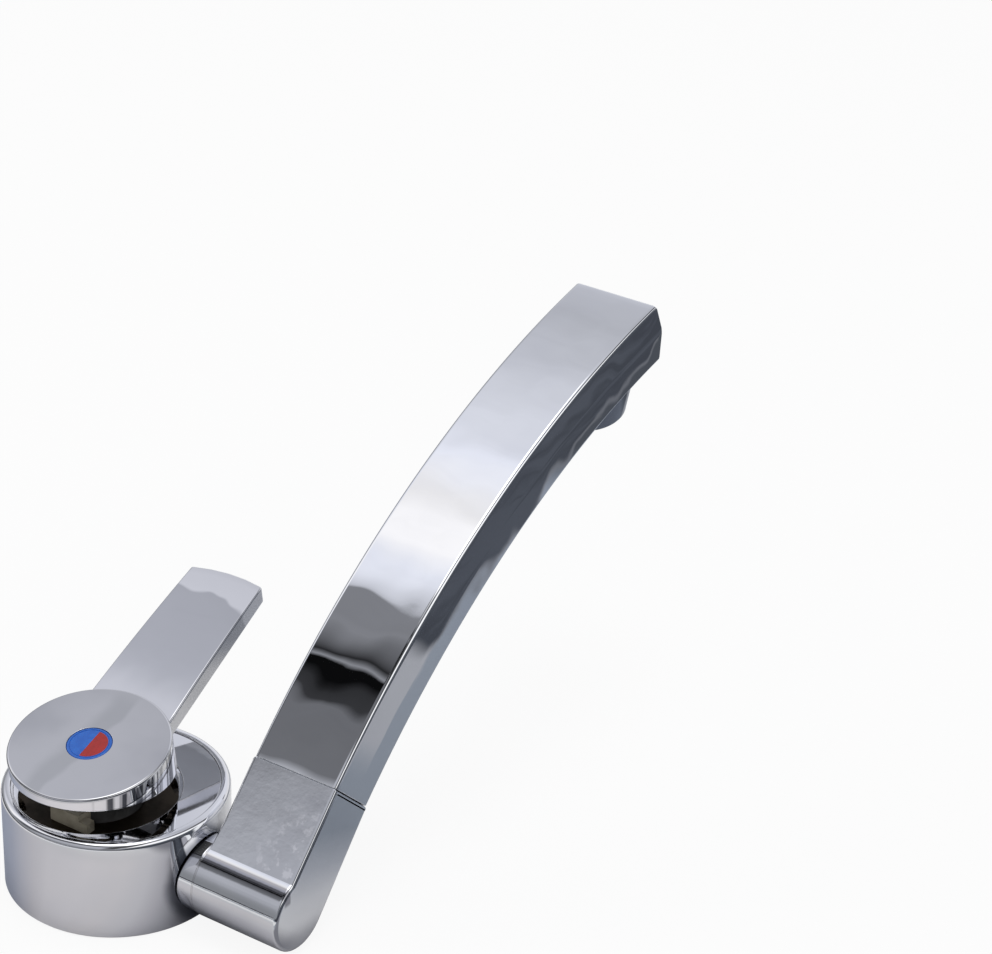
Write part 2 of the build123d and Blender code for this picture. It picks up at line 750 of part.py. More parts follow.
# Axle: hollow journal with two seal grooves and the groove of its retaining screw
seal_places = [axle_tip_x + seal_width, body_radius - 2 * seal_width]
screw_groove = 2 * (axle_screw_tip + free_gap)
with BuildPart() as axle_tube:
    with BuildSketch(axle_plane(axle_tip_x)):
        Circle(axle_radius)
        Circle(axle_bore, mode=Mode.SUBTRACT)
    extrude(amount=axle_end_x - axle_tip_x)
    for groove_x in seal_places:
        with BuildSketch(axle_plane(groove_x)):
            Circle(axle_radius)
            Circle(axle_radius - seal_groove, mode=Mode.SUBTRACT)
        extrude(amount=seal_width, mode=Mode.SUBTRACT)
    with BuildSketch(axle_plane(axle_screw_x - screw_groove / 2)):
        Circle(axle_radius)
        Circle(axle_radius - seal_groove, mode=Mode.SUBTRACT)
    extrude(amount=screw_groove, mode=Mode.SUBTRACT)
axle_tube.part.label = "axle_tube"
export_step(axle_tube.part, "parts/axle_tube.step")

with BuildPart() as axle_seals:
    for groove_x in seal_places:
        with BuildSketch(axle_plane(groove_x + slip_gap)):
            Circle(axle_radius + running_gap / 2)
            Circle(axle_radius - seal_groove, mode=Mode.SUBTRACT)
        extrude(amount=seal_width - 2 * slip_gap)
axle_seals.part.label = "axle_seals"
export_step(axle_seals.part, "parts/axle_seals.step")

screw_point = axle_height - axle_radius + seal_groove - free_gap
with BuildPart() as axle_screw:
    with BuildSketch(Plane.XY.offset(body_chamfer)):
        with Locations((axle_screw_x, 0)):
            Circle(axle_screw_radius)
    extrude(amount=axle_height - axle_radius - free_gap - body_chamfer)
    with BuildSketch(Plane.XY.offset(body_chamfer)):
        with Locations((axle_screw_x, 0)):
            Circle(axle_screw_tip)
    extrude(amount=screw_point - body_chamfer)
    with BuildSketch(Plane.XY.offset(body_chamfer)):
        with Locations((axle_screw_x, 0)):
            RegularPolygon(axle_screw_key, 6)
    extrude(amount=axle_screw_radius, mode=Mode.SUBTRACT)
axle_screw.part.label = "axle_screw"
export_step(axle_screw.part, "parts/axle_screw.step")

# Elbow: square block over a barrel on the axle; one side runs off the barrel at a tangent
half_thickness = spout_thickness / 2
corner_reach = hypot(seam_height, half_thickness)
tangent_angle = atan2(seam_height, half_thickness) - acos(barrel_radius / corner_reach)
tangent_point = (barrel_radius * cos(tangent_angle), barrel_radius * sin(tangent_angle))
with BuildPart() as elbow:
    with BuildSketch(axle_plane(elbow_start)):
        Circle(barrel_radius)
        with BuildLine():
            Polyline(
                (-half_thickness, 0),
                tangent_point,
                (half_thickness, seam_height),
                (-half_thickness, seam_height),
                close=True,
            )
        make_face()
    extrude(amount=spout_width)
    cheek_edges = elbow.faces().sort_by(Axis.X)[-1].edges()
    back_edges = elbow.faces().sort_by(Axis.X)[0].edges()
    round_edges = (cheek_edges + back_edges).filter_by(
        lambda edge: (edge.center() - axle_centre).dot(spout_up) < seam_height - slip_gap
    )
    fillet(round_edges, spout_edge / 2)
    chamfer(elbow.faces().sort_by(Axis(axle_centre, spout_up))[-1].edges(), seam_groove)
    with BuildSketch(bend_plane(0)):
        with Locations((bend_radius, 0)):
            Rectangle(
                spout_thickness - 2 * spout_wall - 2 * slip_gap,
                spout_width - 2 * spout_wall - 2 * slip_gap,
            )
    revolve(axis=bend_axis(), revolution_arc=spout_lean + tenon_angle)
    with BuildSketch(bend_plane(0)):
        with Locations((bend_radius, 0)):
            Circle(riser_radius)
    revolve(axis=bend_axis(), revolution_arc=2 * tenon_angle, mode=Mode.SUBTRACT)
    with BuildSketch(bend_plane(0)):
        with Locations((bend_radius, 0)):
            Circle(riser_radius)
    extrude(amount=-bend_start, mode=Mode.SUBTRACT)
    with BuildSketch(axle_plane(elbow_start)):
        Circle(axle_radius)
    extrude(amount=axle_depth, mode=Mode.SUBTRACT)
    with BuildSketch(axle_plane(elbow_start)):
        Circle(axle_bore)
    extrude(amount=spout_width / 2, mode=Mode.SUBTRACT)
elbow.part.label = "elbow"
export_step(elbow.part, "parts/elbow.step")

# Spout arm: hollow bent bar, ridged along the middle of its sides and closed at the tip
tip_radius = ((spout_thickness / 2) ** 2 + tip_bulge**2) / (2 * tip_bulge)
tip_middle = bend_plane(spout_end).from_local_coords(Vector(bend_radius, 0, 0))
tip_plane = Plane(tip_middle, x_dir=bend_plane(spout_end).z_dir, z_dir=(1, 0, 0))
cavity_end = spout_end - degrees(spout_wall / bend_radius)
with BuildPart() as spout_arm:
    with BuildSketch(bend_plane(0)) as arm_section:
        with BuildLine():
            Polyline(
                (inner_bend, spout_width / 2 - side_ridge),
                (bend_radius, spout_width / 2),
                (outer_bend, spout_width / 2 - side_ridge),
                (outer_bend, side_ridge - spout_width / 2),
                (bend_radius, -spout_width / 2),
                (inner_bend, side_ridge - spout_width / 2),
                close=True,
            )
        make_face()
        section_corners = arm_section.vertices().group_by(Axis.X)
        fillet(section_corners[0] + section_corners[-1], spout_edge)
    revolve(axis=bend_axis(), revolution_arc=spout_end + degrees(2 * tip_bulge / bend_radius))
    split(bisect_by=Plane(axle_centre + spout_up * seam_height, z_dir=spout_up), keep=Keep.TOP)
    with BuildSketch(tip_plane):
        with Locations((2 * tip_bulge, 0)):
            Rectangle(4 * tip_bulge, 2 * spout_thickness)
        with Locations((tip_bulge - tip_radius, 0)):
            Circle(tip_radius, mode=Mode.SUBTRACT)
    extrude(amount=spout_width, both=True, mode=Mode.SUBTRACT)
    with BuildSketch(bend_plane(0)):
        with Locations((bend_radius, 0)):
            Rectangle(spout_thickness - 2 * spout_wall, spout_width - 2 * spout_wall)
    revolve(axis=bend_axis(), revolution_arc=cavity_end, mode=Mode.SUBTRACT)
    with BuildSketch(nozzle_plane(spout_wall)):
        Circle(stub_radius + slip_gap)
    extrude(amount=-3 * spout_wall, mode=Mode.SUBTRACT)
spout_arm.part.label = "spout_arm"
export_step(spout_arm.part, "parts/spout_arm.step")

# Water tube along the arm's middle line, sealed in the elbow's tenon and in the union
union_start = nozzle_angle - degrees(union_length / 2 / bend_radius)
tube_start = spout_lean + degrees(seal_width / bend_radius)
tube_end = union_start + degrees(union_socket / bend_radius)
with BuildPart() as water_tube:
    with BuildSketch(bend_plane(tube_start)):
        with Locations((bend_radius, 0)):
            Circle(tube_radius)
            Circle(tube_radius - tube_wall, mode=Mode.SUBTRACT)
    revolve(axis=bend_axis(), revolution_arc=tube_end - tube_start)
water_tube.part.label = "water_tube"
export_step(water_tube.part, "parts/water_tube.step")

with BuildPart() as tube_seal:
    with BuildSketch(bend_plane(spout_lean + tenon_angle / 2)):
        with Locations((bend_radius, 0)):
            Circle(riser_radius)
            Circle(tube_radius, mode=Mode.SUBTRACT)
    revolve(axis=bend_axis(), revolution_arc=degrees(seal_width / bend_radius))
tube_seal.part.label = "tube_seal"
export_step(tube_seal.part, "parts/tube_seal.step")

# Union: block inside the arm that the nozzle's threaded stub pulls against the wall
stub_end = -spout_wall - stub_reach
bore_overrun = 1.0
with BuildPart() as outlet_union:
    with BuildSketch(nozzle_plane(-spout_wall)):
        Rectangle(union_width, union_length)
    extrude(amount=2 * spout_wall + union_clearance - spout_thickness)
    with BuildSketch(nozzle_plane(-spout_wall)):
        Circle(stub_radius)
    extrude(amount=-stub_reach - union_seal_height, mode=Mode.SUBTRACT)
    with BuildSketch(nozzle_plane(stub_end)):
        Circle(tube_radius - tube_wall)
    extrude(amount=-spout_thickness / 2 - stub_end, mode=Mode.SUBTRACT)
    with BuildSketch(bend_plane(union_start - bore_overrun)):
        with Locations((bend_radius, 0)):
            Circle(tube_radius - tube_wall)
    revolve(axis=bend_axis(), revolution_arc=nozzle_angle - union_start + bore_overrun, mode=Mode.SUBTRACT)
    with BuildSketch(bend_plane(union_start - bore_overrun)):
        with Locations((bend_radius, 0)):
            Circle(tube_radius)
    revolve(axis=bend_axis(), revolution_arc=tube_end - union_start + bore_overrun, mode=Mode.SUBTRACT)
outlet_union.part.label = "outlet_union"
export_step(outlet_union.part, "parts/outlet_union.step")

stub_bore = stub_radius - tube_wall
with BuildPart() as union_seal:
    with BuildSketch(nozzle_plane(stub_end)):
        Circle(stub_radius)
        Circle(tube_radius - tube_wall, mode=Mode.SUBTRACT)
    extrude(amount=-union_seal_height)
union_seal.part.label = "union_seal"
export_step(union_seal.part, "parts/union_seal.step")

# Nozzle: tapered ring screwed through the arm's wall, with a flow straightener in its mouth
aerator_seat = nozzle_height - aerator_recess - aerator_height
nozzle_taper_angle = degrees(atan(nozzle_taper / nozzle_height))
with BuildPart() as nozzle:
    with BuildSketch(nozzle_plane(0)):
        Circle(nozzle_base_radius)
    extrude(amount=nozzle_height, taper=nozzle_taper_angle)
    with BuildSketch(Plane(bend_centre, x_dir=(0, 1, 0), z_dir=(1, 0, 0))):
        Circle(inner_bend)
    extrude(amount=elbow_start + spout_width, mode=Mode.INTERSECT)
    nozzle_mouth = nozzle.faces().sort_by(Axis(nozzle_plane(0).origin, nozzle_plane(0).z_dir))[-1]
    fillet(nozzle_mouth.edges(), nozzle_edge)
    with BuildSketch(nozzle_plane(aerator_seat - aerator_seal_height)):
        Circle(stub_radius)
    extrude(amount=stub_end - aerator_seat + aerator_seal_height)
    with BuildSketch(nozzle_plane(stub_end)):
        Circle(stub_bore)
    extrude(amount=nozzle_height - stub_end, mode=Mode.SUBTRACT)
    with BuildSketch(nozzle_plane(aerator_seat - aerator_seal_height)):
        Circle(aerator_radius)
    extrude(amount=nozzle_height, mode=Mode.SUBTRACT)
nozzle.part.label = "nozzle"
export_step(nozzle.part, "parts/nozzle.step")

with BuildPart() as aerator_seal:
    with BuildSketch(nozzle_plane(aerator_seat - aerator_seal_height)):
        Circle(aerator_radius)
        Circle(aerator_radius - aerator_seal_width, mode=Mode.SUBTRACT)
    extrude(amount=aerator_seal_height)
aerator_seal.part.label = "aerator_seal"
export_step(aerator_seal.part, "parts/aerator_seal.step")

with BuildPart() as aerator_insert:
    with BuildSketch(nozzle_plane(aerator_seat)):
        Circle(aerator_radius)
        with PolarLocations(aerator_inner_ring, 6):
            Circle(aerator_hole, mode=Mode.SUBTRACT)
        with PolarLocations(aerator_outer_ring, 12):
            Circle(aerator_hole, mode=Mode.SUBTRACT)
        Circle(aerator_hole, mode=Mode.SUBTRACT)
    extrude(amount=aerator_height)
aerator_insert.part.label = "aerator_insert"
export_step(aerator_insert.part, "parts/aerator_insert.step")
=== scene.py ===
import json
from math import acos, asin, atan2, cos, degrees, hypot, pi, radians, sin, sqrt, tan

import bmesh
import bpy
from mathutils import Matrix, Vector

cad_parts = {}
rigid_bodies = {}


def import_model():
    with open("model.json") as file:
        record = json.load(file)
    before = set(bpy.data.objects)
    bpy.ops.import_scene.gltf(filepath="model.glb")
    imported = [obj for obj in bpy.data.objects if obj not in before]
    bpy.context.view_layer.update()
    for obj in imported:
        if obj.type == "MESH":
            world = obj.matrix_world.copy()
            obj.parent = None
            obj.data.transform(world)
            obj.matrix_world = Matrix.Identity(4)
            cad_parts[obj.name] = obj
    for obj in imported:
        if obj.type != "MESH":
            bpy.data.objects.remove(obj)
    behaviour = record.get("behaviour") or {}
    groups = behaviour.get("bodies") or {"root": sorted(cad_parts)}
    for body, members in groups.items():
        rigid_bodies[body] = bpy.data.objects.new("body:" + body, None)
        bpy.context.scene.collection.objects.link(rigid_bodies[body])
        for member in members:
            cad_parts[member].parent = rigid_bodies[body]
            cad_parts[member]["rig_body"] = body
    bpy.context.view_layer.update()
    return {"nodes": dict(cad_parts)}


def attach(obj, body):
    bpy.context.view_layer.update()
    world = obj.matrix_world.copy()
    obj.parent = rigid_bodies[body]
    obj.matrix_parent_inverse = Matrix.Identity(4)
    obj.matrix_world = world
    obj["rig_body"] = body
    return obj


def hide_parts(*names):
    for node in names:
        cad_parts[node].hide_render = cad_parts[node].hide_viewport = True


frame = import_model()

# Caravan mixer tap: chromed body, disc lever and a folding spout.
# Shapes are drawn in millimetres in their group's own frame, and addPiece puts them in the shared
# frame, in metres. The finishes, the floor and the studio are in metres.
millimetre = 0.001
meshing = {  # how close points are joined, drawn ones in mm and CAD ones in m; the sharp angles
    "drawnReach": 2e-4, "solidReach": 2e-6,
    "cutReach": 1e-4, "drawnSharp": 40, "solidSharp": 28, "ringPoints": 128,
}
print("frame loaded:", len(frame["nodes"]), "nodes")


# Node and shader tools
def operatorPair(operation):
    # a Python operator and its reflected form, as Math nodes
    def plain(wire, other):
        return wire.maths(operation, wire, other)

    def reflected(wire, other):
        return wire.maths(operation, other, wire)

    return plain, reflected


class Wire:
    # one socket of a node tree; Python maths on it adds Math nodes
    def __init__(self, tree, socket=None):
        self.tree = tree
        self.socket = socket

    def node(self, kind, sockets=None, settings=None, out=0):
        made = self.tree.nodes.new(kind)
        for key, value in (settings or {}).items():
            if key == "stops":
                steps = made.color_ramp.elements
                steps[0].position, steps[0].color = value[0][0], (*value[0][1], 1)
                steps[-1].position, steps[-1].color = value[-1][0], (*value[-1][1], 1)
                for place, colour in value[1:-1]:
                    steps.new(place).color = (*colour, 1)
            else:
                setattr(made, key, value)
        for key, value in (sockets or {}).items():
            if isinstance(value, Wire):
                self.tree.links.new(value.socket, made.inputs[key])
            else:
                made.inputs[key].default_value = value
        return Wire(self.tree, made.outputs[out] if made.outputs else None)

    def maths(self, operation, *values):
        return self.node("ShaderNodeMath", dict(enumerate(values)), {"operation": operation})

    __add__, __radd__ = operatorPair("ADD")
    __sub__, __rsub__ = operatorPair("SUBTRACT")
    __mul__, __rmul__ = operatorPair("MULTIPLY")
    __truediv__, __rtruediv__ = operatorPair("DIVIDE")
    __pow__, __rpow__ = operatorPair("POWER")

    def eased(self, low, high):
        # 0 below low, 1 above high, eased between them
        smooth = {"interpolation_type": "SMOOTHSTEP"}
        return self.node("ShaderNodeMapRange", {0: self, 1: low, 2: high}, smooth)

    def below(self, low, high):
        return 1.0 - self.eased(low, high)

    def within(self, rise, fall):
        # 1 between two eased edges
        return self.eased(*rise) * self.below(*fall)

    def bump(self):
        # this height, in metres, as a shading normal
        return self.node("ShaderNodeBump", {"Strength": 1.0, "Distance": 1.0, "Height": self})

    def blend(self, first, second):
        # this value mixes two colours
        ends = {key: (*c, 1) if isinstance(c, tuple) else c for key, c in ((6, first), (7, second))}
        return self.node("ShaderNodeMix", {0: self, **ends}, {"data_type": "RGBA"}, out=2)

    def parts(self):
        split = self.node("ShaderNodeSeparateXYZ", {0: self}).socket.node
        return [Wire(self.tree, socket) for socket in split.outputs]


def emptied(owner, kind):
    # empties a material or world, and returns the coordinates that its patterns follow
    owner.use_nodes = True
    owner.node_tree.nodes.clear()
    return Wire(owner.node_tree).node("ShaderNodeTexCoord", out=kind)


def newMaterial(name):
    material = bpy.data.materials.new(name)
    return material, emptied(material, "Object")


def finishMaterial(material, shader):
    shader.node("ShaderNodeOutputMaterial", {0: shader})
    return material


# Frames of the groups, as the record's joints place them
layout = {
    "cartridgeOffset": 4.0,
    "cartridgeDirection": 235.0,
    "leverYaw": 6.2,
    "leverTilt": 10.4,
    "pivotHeight": 20.3,
    "axleHeight": 10.3,
    "restFold": 43.5,
}


def groupMatrix(origin, xAxis, yAxis, zAxis):
    matrix = Matrix((xAxis, yAxis, zAxis)).transposed().to_4x4()
    matrix.translation = origin
    return matrix


aim, yaw, tilt, fold = (
    radians(layout[key]) for key in ("cartridgeDirection", "leverYaw", "leverTilt", "restFold")
)
cartridgeCentre = (layout["cartridgeOffset"] * cos(aim), layout["cartridgeOffset"] * sin(aim))
leverSide = Vector((cos(yaw), sin(yaw), 0))
leverAxis = Vector((sin(tilt) * sin(yaw), -sin(tilt) * cos(yaw), cos(tilt)))
leverForward = leverAxis.cross(leverSide)
leverOrigin = Vector((*cartridgeCentre, layout["pivotHeight"]))
bodyMatrix = Matrix.Identity(4)
leverMatrix = groupMatrix(leverOrigin, leverSide, leverForward, leverAxis)
axleMatrix = groupMatrix(
    (0, 0, layout["axleHeight"]), (1, 0, 0), (0, cos(fold), -sin(fold)), (0, sin(fold), cos(fold))
)


# Mesh tools
def ringAt(radius, height, centre=(0, 0), count=meshing["ringPoints"]):
    steps = [2 * pi * i / count for i in range(count)]
    return [(centre[0] + radius * cos(a), centre[1] + radius * sin(a), height) for a in steps]


def turned(profile, centre=(0, 0), count=meshing["ringPoints"]):
    # the rings of a profile of radii and heights, round an upright axis
    return [ringAt(radius, height, centre, count) for radius, height in profile]


def arcPoints(centre, radius, start, end, steps):
    # points on an arc, angles in degrees
    angles = [radians(start + (end - start) * i / steps) for i in range(steps + 1)]
    return [(centre[0] + radius * cos(a), centre[1] + radius * sin(a)) for a in angles]


def roundedCorner(corner, radius, start, end, steps):
    # rounds a profile's upper corner: an outer one within 0 to 90 degrees, an inner one 90 to 180
    side = -1 if min(start, end) < 90 else 1
    return arcPoints((corner[0] + side * radius, corner[1] - radius), radius, start, end, steps)


def quarter(steps):
    return [pi / 2 * k / steps for k in range(steps + 1)]


def inset(outline, distance):
    # moves a closed anticlockwise outline inwards
    moved = []
    for i, point in enumerate(outline):
        here, before, after = Vector(point), Vector(outline[i - 1]), Vector(outline[(i + 1) % len(outline)])
        u, v = (here - before).normalized(), (after - here).normalized()
        first, second = Vector((-u.y, u.x)), Vector((-v.y, v.x))
        moved.append(tuple(here + (first + second) * (distance / (1 + first.dot(second)))))
    return moved


def loft(rings, firstCap="", lastCap="", bm=None):
    # skins rings of equal counts, into a new mesh or into one that is handed on
    bm = bmesh.new() if bm is None else bm
    rows = [[bm.verts.new(point) for point in ring] for ring in rings]
    count = len(rows[0])
    for low, high in zip(rows, rows[1:]):
        for i in range(count):
            j = (i + 1) % count
            bm.faces.new((low[i], low[j], high[j], high[i]))
    for row, cap in ((rows[0], firstCap), (rows[-1], lastCap)):
        if cap == "flat":
            bm.faces.new(row)
        if cap == "strips":  # pairs the ring's two mirrored halves
            for i in range(count // 2 - 1):
                bm.faces.new((row[i], row[i + 1], row[count - 2 - i], row[count - 1 - i]))
    return bm


def prism(outline, low, high, edge, steps=3):
    # upright block with rounded ends
    rings = []
    for end, inward, angles in ((low, 1, quarter(steps)), (high, -1, quarter(steps)[::-1])):
        for a in angles:
            height = end + inward * edge * (1 - cos(a))
            rings.append([(x, y, height) for x, y in inset(outline, edge * (1 - sin(a)))])
    return loft(rings, "flat", "flat")


def newObject(name, data):
    # an object in the scene, from its data or from a bmesh, which is freed
    if isinstance(data, bmesh.types.BMesh):
        bm, data = data, bpy.data.meshes.new(name)
        bm.to_mesh(data)
        bm.free()
    thing = bpy.data.objects.new(name, data)
    bpy.context.scene.collection.objects.link(thing)
    return thing


def addMaterial(thing, material):
    thing.data.materials.clear()
    thing.data.materials.append(material)


def shadedPiece(name, bm, look, sharp):
    piece = newObject(name, bm)
    piece.data.shade_smooth()
    piece.data.set_sharp_from_angle(angle=radians(sharp))
    addMaterial(piece, finish[look])
    piece.modifiers.new("even shading", "WEIGHTED_NORMAL").keep_sharp = True
    return piece


def settle(piece, body, slotName, *nodes):
    # the CAD nodes that a piece replaces take its material too
    for node in nodes:
        addMaterial(frame["nodes"][node], piece.data.materials[0])
    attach(piece, body)
    if nodes:
        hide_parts(*nodes)


def addPiece(name, bm, matrix, look, body, slotName, *nodes, sharp=meshing["drawnSharp"]):
    # a shape drawn in millimetres becomes a finished piece in metres, riding a body
    bmesh.ops.remove_doubles(bm, verts=bm.verts, dist=meshing["drawnReach"])
    bmesh.ops.recalc_face_normals(bm, faces=bm.faces)
    bm.transform(Matrix.Scale(millimetre, 4) @ matrix)
    settle(shadedPiece(name, bm, look, sharp), body, slotName, *nodes)


def joinedSolid(node):
    # a CAD node's own shape, with its loose triangles joined
    bm = bmesh.new()
    bm.from_mesh(frame["nodes"][node].data)
    bmesh.ops.remove_doubles(bm, verts=bm.verts, dist=meshing["solidReach"])
    return bm


# Geometry Nodes tools
def newTree(name, inputs):
    tree = bpy.data.node_groups.new(name, "GeometryNodeTree")
    for label, kind in {"Geometry": "Geometry", **inputs}.items():
        tree.interface.new_socket(label, in_out="INPUT", socket_type="NodeSocket" + kind)
    tree.interface.new_socket("Geometry", in_out="OUTPUT", socket_type="NodeSocketGeometry")
    start = tree.nodes.new("NodeGroupInput")
    return tree, {socket.name: Wire(tree, socket) for socket in start.outputs if socket.name}


def closeTree(geometry, look):
    real = geometry.node("GeometryNodeRealizeInstances", {0: geometry})
    dressed = real.node("GeometryNodeSetMaterial", {0: real, "Material": finish[look]})
    dressed.node("NodeGroupOutput", {0: dressed})


def runTree(tree, bm, values):
    # evaluates the tree on the mesh and returns the result as a plain bmesh
    holder = newObject(tree.name, bm)
    modifier = holder.modifiers.new(tree.name, "NODES")
    modifier.node_group = tree
    for item in tree.interface.items_tree:
        if item.name in values:
            modifier[item.identifier] = values[item.name]
    evaluated = holder.evaluated_get(bpy.context.evaluated_depsgraph_get())
    plain = bpy.data.meshes.new_from_object(evaluated)
    result = bmesh.new()
    result.from_mesh(plain)
    bpy.data.objects.remove(holder)
    return result


# Finishes
def noiseOf(place, scale, detail=2.0, rough=0.5, stretch=None):
    if stretch:
        place = place.node("ShaderNodeMapping", {"Vector": place, "Scale": stretch})
    sockets = {"Vector": place, "Scale": scale, "Detail": detail, "Roughness": rough}
    return place.node("ShaderNodeTexNoise", sockets)


def patchesOf(place, edges, *noise):
    # soft-edged patches, 0 to 1
    return noiseOf(place, *noise).eased(*edges)


def waver(place, amount, *noise):
    # noise about nought
    return (noiseOf(place, *noise) - 0.5) * amount


def awayFrom(x, y, centre=(0, 0)):
    return ((x - centre[0]) ** 2.0 + (y - centre[1]) ** 2.0) ** 0.5


def turnRound(x, y, centre):
    # the angle round a line, in radians from the first direction
    rise = y - centre[1]
    return rise.maths("ARCTAN2", rise, x - centre[0])


def addPaintedGripShade(place, colour, haze):
    # painted shade along the grip, between two places along Y, and a painted brighter reflection beyond them
    # at the tip
    ragged = place.parts()[1] + waver(place, *haze["ragged"])
    colour = ragged.within(haze["start"], haze["end"]).blend(colour, haze["colour"])
    return ragged.eased(*haze["end"]).blend(colour, haze["clean"])


def addPaintedHeadBand(place, colour, streak):
    # a soft stripe along Y, a painted darker reflection band
    x, y = place.parts()[:2]
    aside = x + waver(place, *streak["ragged"])
    stripe = aside.within(streak["from"], streak["to"]) * y.below(*streak["end"])
    return stripe.blend(colour, streak["colour"])


def addPaintedSkirtReflections(place, colour, skirt):
    # painted reflections on the head's side: a painted highlight in front, painted shade to the left,
    # painted dark stripes to the right
    x, y, z = place.parts()
    height = x * leverAxis.x + y * leverAxis.y + z * leverAxis.z - leverOrigin.dot(leverAxis) * millimetre
    side = height.below(*skirt["level"]) * y.below(*skirt["behind"])
    turn = turnRound(x, y, [value * millimetre for value in cartridgeCentre])
    stripes = patchesOf(turn.node("ShaderNodeCombineXYZ", {0: turn}), *skirt["stripes"])
    tone = x.eased(*skirt["left"]).blend(skirt["dull"], skirt["bright"])
    tone = (x.eased(*skirt["right"]) * stripes).blend(tone, skirt["dark"])
    return side.blend(colour, tone)


def addPaintedGlints(place, colour, specks):
    # painted glints: light spots on the elbow's face
    x, y, z = place.parts()
    spots = patchesOf(place, *specks["spots"]) * x.within(*specks["across"]) * z.within(*specks["height"])
    return spots.blend(colour, specks["colour"])


def addPaintedBarrelShade(place, colour, band):
    # a painted dark reflection stripe along the barrel, under the crease
    x, y, z = place.parts()
    stripe = y.within(band["end"], band["crease"]) * z.eased(*band["above"])
    return stripe.blend(colour, band["colour"])


def addPaintedCollarShade(place, colour, saddle):
    # painted shade round the collar's root, by distance from the axle
    x, y, z = place.parts()
    away = awayFrom(y, z, (0, layout["axleHeight"] * millimetre))
    away = away + waver(place, *saddle["ragged"])
    return (away.below(*saddle["reach"]) * x.eased(*saddle["side"])).blend(colour, saddle["colour"])


def addPaintedJointShade(place, colour, grime):
    # a painted shade line in the joint, by distance from the body's axis
    x, y = place.parts()[:2]
    return awayFrom(x, y).eased(*grime["reach"]).blend(grime["colour"], colour)


# painted shade, highlights and reflections, by the key a look gives them under
marks = {
    "haze": addPaintedGripShade, "streak": addPaintedHeadBand, "skirt": addPaintedSkirtReflections, "specks": addPaintedGlints, "band": addPaintedBarrelShade,
    "saddle": addPaintedCollarShade, "grime": addPaintedJointShade,
}
patterns = {  # the edges of the patches, then the noise's scale, detail, roughness and stretch
    "cloud": ((0.35, 0.7), 38, 3),
    "smudge": ((0.52, 0.74), 95, 5, 0.62),
    "wipe": ((0.62, 0.8), 420, 2, 0.6, (0.12, 1.0, 0.5)),
    "rubbed": ((0.5, 0.75), 70, 3),
    "film": ((0.4, 0.75), 120, 4, 0.6),
}
plating = {  # what most plated pieces share; wave and peel are a height, then the noise
    "tones": ((0.79, 0.79, 0.81), (0.74, 0.75, 0.78)), "rough": 0.035, "smudge": 0.05, "wipe": 0.03,
    "wave": (2.4e-5, 60, 1.5), "peel": (4e-7, 900),
}


def chromeFinish(name, look):
    # bright plating: a clear mirror with faint hand smudges, wipe marks and a slightly uneven face, and the
    # painted shade, highlights and reflections that a look's marks add
    look = {**plating, **look}
    material, place = newMaterial(name)
    colour = patchesOf(place, *patterns["cloud"]).blend(*look["tones"])
    for mark, addMark in marks.items():
        if mark in look:
            colour = addMark(place, colour, look[mark])
    rough = look["rough"]
    for pattern in ("smudge", "wipe"):
        rough = rough + patchesOf(place, *patterns[pattern]) * look[pattern]
    uneven = waver(place, *look["wave"]) + waver(place, *look["peel"])
    shader = place.node("ShaderNodeBsdfPrincipled", {
        "Base Color": colour, "Metallic": 1.0, "Roughness": rough, "Normal": uneven.bump(),
    })
    return finishMaterial(material, shader)


moulding = {  # what most mouldings share
    "mottleEdges": (0.3, 0.72), "mottle": 160, "mottleDetail": (4, 0.6), "rubbed": 0.08,
    "grain": 6e-6, "grainNoise": (2400, 2, 0.6), "coat": 0.0, "coatRough": 0.06, "refraction": 1.5,
}


def mouldedFinish(name, look):
    # plastics, rubber, ceramic: two close tones, a fine mould grain and rubbed, glossier spots
    look = {**moulding, **look}
    material, place = newMaterial(name)
    mottle = patchesOf(place, look["mottleEdges"], look["mottle"], *look["mottleDetail"])
    shader = place.node("ShaderNodeBsdfPrincipled", {
        "Base Color": mottle.blend(*look["tones"]),
        "Roughness": look["rough"] - patchesOf(place, *patterns["rubbed"]) * look["rubbed"],
        "Normal": waver(place, look["grain"], *look["grainNoise"]).bump(),
        "Coat Weight": look["coat"], "Coat Roughness": look["coatRough"], "IOR": look["refraction"],
    })
    return finishMaterial(material, shader)


turning = {"rings": (3800, 2, 0.7), "dulling": 0.12, "ringHeight": 4e-6}


def turnedFinish(name, look):
    # machined metal: rings from the lathe round the part's axis, with a dull film in patches
    material, place = newMaterial(name)
    x, y, z = place.parts()
    lathed = place.node("ShaderNodeCombineXYZ", {0: awayFrom(x, y), 1: z})
    rings = noiseOf(lathed, *turning["rings"])
    film = patchesOf(place, *patterns["film"])
    shader = place.node("ShaderNodeBsdfPrincipled", {
        "Base Color": film.blend(*look["tones"]), "Metallic": 1.0,
        "Roughness": look["rough"] + rings * turning["dulling"] + film * turning["dulling"],
        "Normal": ((rings - 0.5) * turning["ringHeight"]).bump(),
    })
    return finishMaterial(material, shader)


